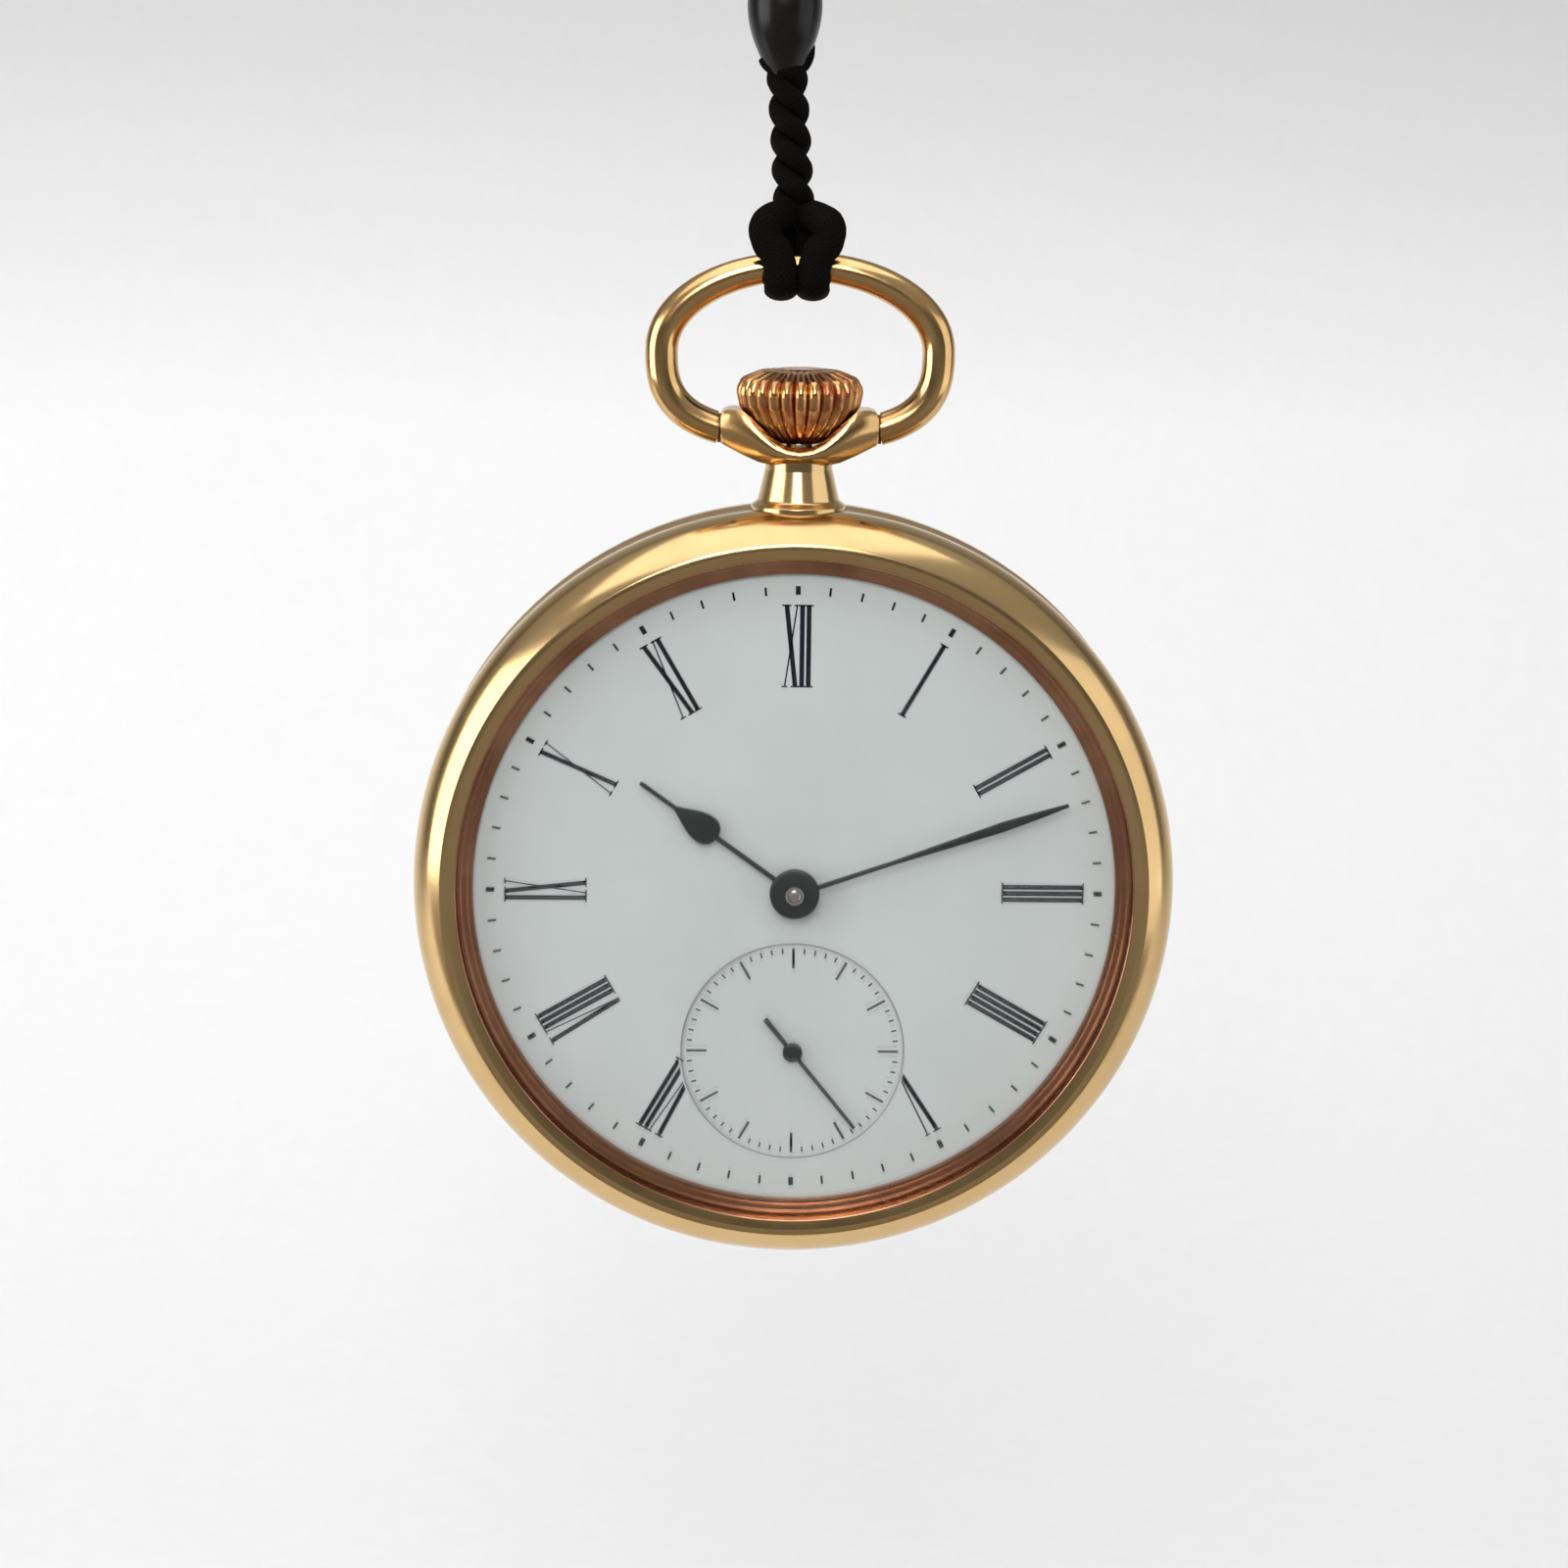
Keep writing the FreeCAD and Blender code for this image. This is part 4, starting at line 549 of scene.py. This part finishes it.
numeralSizes = {"inner": 12.1, "outer": 16.9, "bar": 0.27, "hair": 0.085, "serif": 0.09,
                "over": 0.13, "pitch": 0.38, "crossWide": 0.80, "wedgeWide": 0.82,
                "inkHigh": 0.012}
secondsOffset = 9.7  # the small dial's centre below the watch's own
tickSizes = {"minuteRadius": 17.72, "minuteLong": 0.5, "minuteWide": 0.13, "hourWide": 0.28,
             "secondsRadius": 6.25, "secondsLong": 1.2, "secondsWide": 0.15,
             "secondsShort": 0.3, "secondsThin": 0.1, "ring": 6.6, "ringWide": 0.08}


def stroke(start, stop, wide):
    # a stroke whose ends are cut level, wide across
    half = wide / 2
    return [(start[0] - half, start[1]), (start[0] + half, start[1]),
            (stop[0] + half, stop[1]), (stop[0] - half, stop[1])]


def letterStrokes(letter, left):
    # strokes of one letter in (across, outwards), and how wide the letter is
    s = numeralSizes
    low, high = s["inner"], s["outer"]
    strokes = []
    if letter == "I":
        wide = s["bar"]
        strokes.append(stroke((left + wide / 2, low), (left + wide / 2, high), wide))
        feet = [(left + wide / 2, low, wide), (left + wide / 2, high, wide)]
    elif letter == "V":
        wide = s["wedgeWide"]
        tip = (left + wide / 2, low)
        strokes.append(stroke((tip[0] - 0.02, low), (left + s["bar"] / 2, high), s["bar"]))
        strokes.append(stroke((tip[0] + 0.05, low), (left + wide - 0.04, high), s["hair"]))
        feet = [(left + s["bar"] / 2, high, s["bar"]), (left + wide - 0.04, high, s["hair"])]
    else:
        wide = s["crossWide"]
        strokes.append(stroke((left + wide - s["bar"] / 2, low), (left + s["bar"] / 2, high),
                              s["bar"]))
        strokes.append(stroke((left + 0.05, low), (left + wide - 0.05, high), s["hair"]))
        feet = [(left + s["bar"] / 2, high, s["bar"]), (left + wide - 0.05, high, s["hair"]),
                (left + wide - s["bar"] / 2, low, s["bar"]), (left + 0.05, low, s["hair"])]
    for across, level, foot in feet:
        shift = s["serif"] if level == low else -s["serif"]
        strokes.append(stroke((across, level), (across, level + shift), foot + 2 * s["over"]))
    return strokes, wide


def turnQuads(quads, clockwise):
    # (across, outwards) turned clockwise about the dial's centre
    turn = math.radians(clockwise)
    quads = np.asarray(quads, float)
    across, out = quads[..., 0], quads[..., 1]
    return np.stack((across * math.cos(turn) + out * math.sin(turn),
                     out * math.cos(turn) - across * math.sin(turn)), axis=-1)


def numeralQuads(word, hour):
    # letters set side by side, centred, then turned to hour * 30 degrees
    s = numeralSizes
    strokes, left = [], 0.0
    for letter in word:
        parts, wide = letterStrokes(letter, left)
        strokes += parts
        left += wide + (s["pitch"] - s["bar"] if letter == "I" else 0.10)
    strokes = np.array(strokes)
    strokes[..., 0] -= (strokes[..., 0].min() + strokes[..., 0].max()) / 2
    return turnQuads(strokes, hour * 30)


def clipToSubdial(quads, offset, radius):
    # strokes that reach the small dial are cut off at its ring, along their own length
    kept = []
    for quad in quads:
        inside = np.hypot(quad[:, 0], quad[:, 1] + offset) < radius
        if inside.all():
            continue
        if inside.any():
            for index in np.where(inside)[0]:
                partner = {0: 3, 1: 2, 2: 1, 3: 0}[index]
                share = np.linspace(0, 1, 200)[:, None]
                line = quad[index] + share * (quad[partner] - quad[index])
                out = np.hypot(line[:, 0], line[:, 1] + offset) >= radius
                quad[index] = line[np.argmax(out)] if out.any() else quad[index]
        kept.append(quad)
    return np.array(kept)


def tickQuads(count, outer, long, wide, skip=0, offset=0.0):
    # count ticks at equal angles that end at radius outer, but none where index % skip is 0
    quads = []
    for index in range(count):
        if skip and index % skip == 0:
            continue
        quads.append(turnQuads([stroke((0, outer - long), (0, outer), wide)],
                               index * 360 / count)[0])
    return np.array(quads) + [0.0, -offset]


def makePrint():
    # numerals, minute and hour ticks, and the small dial's own ticks and ring
    s, t = numeralSizes, tickSizes
    words = {12: "XII", 1: "I", 2: "II", 3: "III", 4: "IIII", 5: "V", 7: "VII", 8: "VIII",
             9: "IX", 10: "X", 11: "XI"}
    quads = [numeralQuads(word, hour) for hour, word in words.items()]
    quads = clipToSubdial(np.concatenate(quads), secondsOffset, t["ring"] + 0.1)
    outer = t["minuteRadius"] + t["minuteLong"] / 2
    minutes = tickQuads(60, outer, t["minuteLong"], t["minuteWide"], skip=5)
    hours = tickQuads(12, outer, t["minuteLong"], t["hourWide"])
    ink = prismMesh("dialPrint", np.concatenate((quads, minutes, hours)), -0.004,
                    s["inkHigh"])
    finishPiece(ink, "dialPrint", "dialInk", "case", smooth=False)
    floor = -0.12
    long = tickQuads(12, t["secondsRadius"], t["secondsLong"], t["secondsWide"],
                     offset=secondsOffset)
    short = tickQuads(60, t["secondsRadius"], t["secondsShort"], t["secondsThin"], skip=5,
                      offset=secondsOffset)
    ink = prismMesh("secondsPrint", np.concatenate((long, short)), floor - 0.004,
                    floor + s["inkHigh"])
    finishPiece(ink, "secondsPrint", "dialInk", "case", smooth=False)
    edge = rounded([(t["ring"] - t["ringWide"], floor), (t["ring"] - t["ringWide"], 0.0, 0.03),
                    (t["ring"] + 0.02, 0.012, 0.02), (t["ring"] + 0.02, -0.05)], 4)
    ring = turnedMesh("secondsRing", np.vstack((edge, edge[:1])), segments=192,
                      centre=(0.0, -secondsOffset))
    finishPiece(ring, "secondsRing", "greyInk", "case")


makePrint()
print("dial printed")


def bladeMesh(name, reach, halfWide, low, thick, clockwise, centre=(0.0, 0.0)):
    # a blade of half width w(r): its section is a low crown over a flat back
    across = np.array([-1, -0.98, -0.6, 0, 0.6, 0.98, 1, 0.98, 0, -0.98])
    rise = np.array([0.35, 0.7, 0.93, 1.0, 0.93, 0.7, 0.35, 0.0, 0.0, 0.0])
    side = halfWide[:, None] * across[None]
    out = np.broadcast_to(reach[:, None], side.shape)
    turn = math.radians(clockwise)
    points = np.stack((side * math.cos(turn) + out * math.sin(turn) + centre[0],
                       out * math.cos(turn) - side * math.sin(turn) + centre[1],
                       low + thick * np.broadcast_to(rise[None], side.shape)), axis=-1)
    ends = [np.broadcast_to(points[end].mean(axis=0), points[end].shape)[None]
            for end in (0, -1)]
    return gridMesh(name, np.concatenate((ends[0], points, ends[1])))


handSizes = {"hourTurn": -54.1, "minuteTurn": 70.9, "secondsTurn": 141.3, "hourReach": 11.1,
             "minuteReach": 16.7, "secondsReach": 5.95, "secondsTail": 2.6, "hub": 1.45,
             "thick": 0.13}


def hubMesh(name, radius, low, high, centre=(0.0, 0.0), hole=0.0):
    # a turned disc with eased edges, bored through where hole is given
    side = [(hole, low), (radius - 0.03, low, 0.03), (radius, low + 0.04, 0.03),
            (radius, high - 0.05, 0.05), (radius - 0.12, high, 0.06), (hole, high)]
    line = rounded(side, 4)
    if hole:
        line = np.vstack((line, line[:1]))
    return turnedMesh(name, line, segments=96, centre=centre)


def makeHands():
    # hour: thin blade with a drop of half width share^0.5 * (1 - share)^1.25; minute: a leaf
    s = handSizes
    r = np.unique(np.concatenate((np.linspace(1.2, 5.5, 12), np.linspace(5.5, 8.7, 70),
                                  np.linspace(8.7, s["hourReach"], 12))))
    share = np.clip((r - 5.62) / 3.0, 0, 1)
    drop = (share ** 0.5) * (1 - share) ** 1.25
    halfWide = np.where(r < 5.6, 0.15, 0.13) + 0.76 * drop / drop.max()
    halfWide[-1] = 0.10
    blade = bladeMesh("hourBlade", r, halfWide, 0.4, s["thick"], s["hourTurn"])
    finishPiece(blade, "hourBlade", "blackLacquer", "hour", ["hour_hand"])
    hub = hubMesh("hourHub", s["hub"], 0.38, 0.60, hole=0.97)
    finishPiece(hub, "hourHub", "blackLacquer", "hour")
    r = np.linspace(1.0, s["minuteReach"], 60)
    leaf = np.interp(r, [1.0, 6.0, 12.7, 15.2, 16.7], [0.15, 0.13, 0.30, 0.2, 0.10])
    blade = bladeMesh("minuteBlade", r, leaf, 0.8, s["thick"], s["minuteTurn"])
    finishPiece(blade, "minuteBlade", "blackLacquer", "cannon", ["minute_hand"])
    hub = hubMesh("minuteHub", s["hub"] - 0.04, 0.79, 1.02, hole=0.39)
    finishPiece(hub, "minuteHub", "blackLacquer", "cannon")
    pin = hubMesh("centrePin", 0.37, 0.9, 1.14)
    finishPiece(pin, "centrePin", "pinSteel", "centre")
    small = (0.0, -secondsOffset)
    r = np.linspace(-s["secondsTail"], s["secondsReach"], 40)
    wide = np.interp(r, [-2.6, 0.0, 5.95], [0.16, 0.12, 0.10])
    blade = bladeMesh("secondsBlade", r, wide, 0.15, 0.1, s["secondsTurn"], small)
    finishPiece(blade, "secondsBlade", "blackLacquer", "fourth", ["seconds_hand"])
    hub = hubMesh("secondsHub", 0.58, 0.13, 0.32, small)
    finishPiece(hub, "secondsHub", "blackLacquer", "fourth")


makeHands()
print("hands made")


# The route, in the watch's frame: x, y, and how far in front of the bow's plane.
cordRoute = [
    (-1.75, 47.5, 0.0), (-1.45, 43.0, 0.0), (-1.35, 39.4, -0.9), (-1.15, 36.9, -1.52),
    (-1.15, 34.38, -1.52), (-1.15, 34.38, 1.52), (-1.2, 36.5, 1.55), (-2.3, 37.6, 1.4),
    (-1.6, 39.3, 1.3), (1.0, 39.3, 1.3), (1.75, 37.6, 1.4), (0.7, 36.5, 1.55),
    (0.65, 34.38, 1.52), (0.65, 34.38, -1.52), (0.65, 36.9, -1.52), (0.25, 39.4, -0.9),
    (0.05, 43.0, 0.0), (-0.3, 47.5, 0.0), (-0.75, 52.2, 0.0), (1.2, 56.2, 0.0),
    (3.2, 60.2, 0.0), (1.9, 64.7, 0.0), (-1.9, 64.7, 0.0), (-3.9, 60.2, 0.0),
    (-3.4, 56.0, 0.0), (-1.9, 52.0, 0.0)]
cordSizes = {"wireLevel": 35.9, "halfWide": 0.93, "halfThick": 0.56, "twistRadius": 0.56,
             "twistPitch": 3.3, "twistLow": 38.3, "twistHigh": 46.3, "twistHalf": 0.6,
             "length": 78.0, "lift": 0.13}


def cordLine():
    # the smooth line that the route's NURBS spline draws, evenly spaced
    curve = bpy.data.curves.new("cordRoute", "CURVE")
    curve.dimensions = "3D"
    curve.resolution_u = 24
    spline = curve.splines.new("NURBS")
    spline.points.add(len(cordRoute) - 1)
    route = np.array(cordRoute)
    world = toWorld(np.column_stack((route[:, 0], route[:, 1], route[:, 2] + stemLevel)))
    spline.points.foreach_set("co", np.column_stack((world, np.ones(len(world)))).ravel())
    spline.order_u = 3
    spline.use_endpoint_u = True
    holder = bpy.data.objects.new("cordRoute", curve)
    line = bpy.data.meshes.new_from_object(holder)
    points = np.zeros(len(line.vertices) * 3)
    line.vertices.foreach_get("co", points)
    points = points.reshape(-1, 3)
    bpy.data.objects.remove(holder)
    bpy.data.meshes.remove(line)
    reach = np.concatenate(([0], np.cumsum(np.linalg.norm(np.diff(points, axis=0), axis=1))))
    even = np.linspace(0, reach[-1], 900)
    return np.column_stack([np.interp(even, reach, points[:, axis]) for axis in range(3)])


def makeCord():
    # an oval section along the line; between the hitch and the bead the two strands wind
    # round their middle like a two-ply twist
    s = cordSizes
    world = cordLine()
    local = (world - np.array(dialCentre)) / mm
    path = np.column_stack((local[:, 0], local[:, 2], -local[:, 1]))
    path[:, 1] += s["lift"] * np.clip((s["wireLevel"] - path[:, 1]) / 1.5, 0, 1)
    high = path[:, 1]
    rise = np.clip((high - s["twistLow"]) / 1.2, 0, 1) * np.clip(
        (s["twistHigh"] + 1.4 - high) / 1.2, 0, 1)
    rise = rise * rise * (3 - 2 * rise)
    returning = np.arange(len(path)) > len(path) // 3
    phase = 2 * math.pi * high / s["twistPitch"] + returning * math.pi
    middle = np.interp(high, [39.0, 43.0, 47.5], [-0.45, -0.70, -1.02])
    twisted = np.column_stack((middle + s["twistRadius"] * np.cos(phase), high,
                               stemLevel + s["twistRadius"] * np.sin(phase)))
    twistable = rise * (high < s["twistHigh"] + 1.4)
    line = path + (twisted - path) * twistable[:, None]
    around = np.linspace(0, 2 * math.pi, 28, endpoint=False)
    wide = s["halfWide"] + (s["twistHalf"] - s["halfWide"]) * twistable
    thick = s["halfThick"] + (s["twistHalf"] - 0.02 - s["halfThick"]) * twistable
    step = np.arange(len(path))[:, None]
    braid = 1 + 0.035 * np.maximum(np.cos(5 * around + step * 0.55),
                                   np.cos(5 * around - step * 0.55))
    section = np.stack((wide[:, None] * np.cos(around) * braid,
                        thick[:, None] * np.sin(around) * braid), axis=-1)
    # the section's broad way is square to the run and to the way out from the bow's wire
    out = np.zeros_like(line)
    ahead = path[:, 2] - stemLevel
    out[:, 2] = np.where(ahead > 0.3, 1.0, -1.0)
    under = high < s["wireLevel"]
    out[under] = np.column_stack((ahead * 0, high - s["wireLevel"], ahead))[under]
    run = np.gradient(line, axis=0)
    run /= np.linalg.norm(run, axis=1, keepdims=True)
    broad = np.cross(run, out)
    broad /= np.linalg.norm(broad, axis=1, keepdims=True)
    points = (line[:, None] + section[..., :1] * broad[:, None]
              + section[..., 1:] * np.cross(run, broad)[:, None])
    ends = [np.broadcast_to(points[end].mean(axis=0), points[end].shape)[None]
            for end in (0, -1)]
    points = np.concatenate((ends[0], points, ends[1]))
    mesh = gridMesh("braidedCordLoop", points, uvName="alongCord")
    uv = np.zeros(len(mesh.loops) * 2)
    layer = mesh.uv_layers["alongCord"]
    layer.data.foreach_get("uv", uv)
    uv = uv.reshape(-1, 2) * [14.0, 14.0 * s["length"] / (2 * math.pi * 0.75)]
    layer.data.foreach_set("uv", uv.ravel())
    piece = finishPiece(mesh, "braidedCordLoop", "braidedCord", "bow", ["cord"])
    return piece, world


beadSizes = {"low": 45.8, "high": 53.8, "wide": 2.13, "blunt": 0.62, "middle": -1.1}


def makeBead():
    # an egg: radius = wide * sin(pi * share)^blunt, fuller towards the top
    s = beadSizes
    share = np.linspace(0, 1, 60)
    egg = s["wide"] * np.sin(math.pi * share) ** s["blunt"] * (0.80 + 0.32 * share) / 0.985
    height = s["low"] + (s["high"] - s["low"]) * share
    profile = np.column_stack((np.maximum(egg, 0.0), height))
    mesh = turnedMesh("cordBead", profile, axis="y", segments=96, level=stemLevel,
                      centre=(s["middle"], 0.0))
    return finishPiece(mesh, "cordBead", "blackBead", "bow", ["bead"])


cordPiece, cordPath = makeCord()
beadPiece = makeBead()
print("cord and bead made")

# the finishes of the pieces that keep their own shape
nodeFinish = {
    "caseGold": ["case_band", "rear_cover", "cover_hinge_pin", "pendant"],
    "enamel": ["dial", "seconds_dial"],
    "stripedNickel": ["main_plate", "barrel_bridge", "train_bridge", "pallet_bridge",
                      "balance_cock"],
    "giltBrass": ["centre_wheel", "third_wheel", "fourth_wheel", "minute_wheel",
                  "hour_wheel", "barrel_drum", "barrel_cover", "balance_wheel",
                  "balance_screws"],
    "polishedSteel": ["winding_stem", "escape_wheel", "cannon_pinion", "setting_wheel",
                      "motion_work_posts", "mainspring", "barrel_arbor", "ratchet_wheel",
                      "crown_wheel", "winding_pinion", "clutch_wheel", "pallet_fork",
                      "balance_staff", "impulse_roller", "regulator", "click",
                      "setting_lever", "yoke", "keyless_posts"],
    "blueSteel": ["hairspring", "bridge_screws", "wheel_screws"],
    "ruby": ["jewels", "pallet_stones"],
}
for finish, names in nodeFinish.items():
    for name in names:
        nodes[name].data.materials.clear()
        nodes[name].data.materials.append(materials[finish])
print("frame pieces finished")

# paper is the sweep's own white; topPaintedShade is painted shade high on the backdrop, where
# light falls off
stageSizes = {"floor": 95.0, "back": 260.0, "front": -40.0, "side": 700.0, "rise": 420.0,
              "bend": 200.0, "lowFade": -60.0, "highFade": 75.0, "paper": 0.92,
              "topPaintedShade": 0.36}


def makeStage():
    # a floor that bends up behind into a backdrop: one profile, drawn out sideways
    s = stageSizes
    profile = rounded([(s["front"], -s["floor"]), (s["back"], -s["floor"], s["bend"]),
                       (s["back"], s["rise"])], 30)
    across = np.array([-s["side"], s["side"]])
    points = np.zeros((len(profile), 2, 3))
    points[..., 0] = across
    points[..., 1] = profile[:, None, 1]
    points[..., 2] = -profile[:, None, 0]
    mesh = gridMesh("paperSweep", points, wrapAcross=False)
    mesh.polygons.foreach_set("use_smooth", [True] * len(mesh.polygons))
    material, tree, shader = newMaterial("palePaper")
    place = tree.nodes.new("ShaderNodeTexCoord")
    grain = addNode(tree, "ShaderNodeTexNoise", Scale=400.0, Detail=4.0)
    tree.links.new(place.outputs["Object"], grain.inputs["Vector"])
    split = tree.nodes.new("ShaderNodeSeparateXYZ")
    tree.links.new(place.outputs["Object"], split.inputs["Vector"])
    # painted shade: the sweep runs from paper white near the floor to grey up the backdrop
    height = addNode(tree, "ShaderNodeMapRange")
    height.inputs["From Min"].default_value = s["lowFade"] * mm
    height.inputs["From Max"].default_value = s["highFade"] * mm
    tree.links.new(split.outputs["Z"], height.inputs["Value"])
    ramp = tree.nodes.new("ShaderNodeValToRGB")
    elements = ramp.color_ramp.elements
    for element, grey in ((elements[0], s["paper"]), (elements[1], s["topPaintedShade"])):
        element.color = (grey, grey, grey * 1.005, 1)
    tree.links.new(height.outputs["Result"], ramp.inputs["Fac"])
    mix = addNode(tree, "ShaderNodeMix", data_type="RGBA", blend_type="MULTIPLY")
    mix.inputs["Factor"].default_value = 0.04
    tree.links.new(ramp.outputs["Color"], mix.inputs["A"])
    tree.links.new(grain.outputs["Fac"], mix.inputs["B"])
    tree.links.new(mix.outputs["Result"], shader.inputs["Base Color"])
    shader.inputs["Roughness"].default_value = 0.9
    mesh.materials.append(material)
    floor = bpy.data.objects.new("paperSweep", mesh)
    bpy.context.scene.collection.objects.link(floor)


lampSizes = {  # place in the watch's frame in mm, size in mm, watts
    "overhead": ((-30, 330, 60), 380, 0.65),
    "leftSoft": ((-330, 60, 120), 260, 0.75),
    "rightSoft": ((340, 40, 120), 340, 0.38),
    "frontFill": ((-40, 260, 420), 200, 0.9),
}


def makeLamps():
    # square area lamps, each turned to face the dial's centre
    for name, (place, size, watts) in lampSizes.items():
        lamp = bpy.data.lights.new(name, "AREA")
        lamp.size = size * mm
        lamp.energy = watts
        holder = bpy.data.objects.new(name, lamp)
        bpy.context.scene.collection.objects.link(holder)
        spot = Vector(toWorld([place])[0])
        aim = (dialCentre - spot).to_track_quat("-Z", "Y")
        holder.matrix_world = Matrix.Translation(spot) @ aim.to_matrix().to_4x4()


def makeWorld():
    # pale sky overhead, darker towards the front and below, so that metal has contrast
    world = bpy.data.worlds.new("softRoom")
    bpy.context.scene.world = world
    world.use_nodes = True
    tree = world.node_tree
    place = tree.nodes.new("ShaderNodeTexCoord")
    split = tree.nodes.new("ShaderNodeSeparateXYZ")
    tree.links.new(place.outputs["Generated"], split.inputs["Vector"])
    ramp = tree.nodes.new("ShaderNodeValToRGB")
    elements = ramp.color_ramp.elements
    elements[0].position = 0.0
    elements[0].color = (0.50, 0.42, 0.34, 1)
    elements[1].position = 1.0
    elements[1].color = (1.0, 1.0, 1.0, 1)
    for position, grey in ((0.38, 0.62), (0.46, 0.36), (0.56, 0.17), (0.64, 0.50)):
        elements.new(position).color = (grey, grey * 0.97, grey * 0.93, 1)
    remap = addNode(tree, "ShaderNodeMapRange")
    remap.inputs["From Min"].default_value = -1.0
    tree.links.new(split.outputs["Z"], remap.inputs["Value"])
    tree.links.new(remap.outputs["Result"], ramp.inputs["Fac"])
    background = tree.nodes["Background"]
    tree.links.new(ramp.outputs["Color"], background.inputs["Color"])
    background.inputs["Strength"].default_value = 0.5


cameraSizes = {"lens": 69.958, "tilt": 11.8176, "yaw": 1.0612, "roll": -0.7006,
               "shift": (0.6022, -6.2871, -177.7305)}


def makeCamera():
    # camera = stand up * inverse of (shift * roll * tilt * yaw)
    s = cameraSizes
    data = bpy.data.cameras.new("camera")
    data.lens = s["lens"]
    data.sensor_width = 36.0
    data.clip_start = 0.005
    camera = bpy.data.objects.new("camera", data)
    bpy.context.scene.collection.objects.link(camera)
    turn = (Matrix.Rotation(math.radians(s["roll"]), 4, "Z")
            @ Matrix.Rotation(math.radians(s["tilt"]), 4, "X")
            @ Matrix.Rotation(math.radians(s["yaw"]), 4, "Y"))
    seen = Matrix.Translation(Vector(s["shift"]) * mm) @ turn
    camera.matrix_world = standUp @ seen.inverted()
    bpy.context.scene.camera = camera


makeStage()
makeLamps()
makeWorld()
makeCamera()
bpy.context.scene.view_settings.view_transform = "Standard"
print("stage, lamps and camera set")
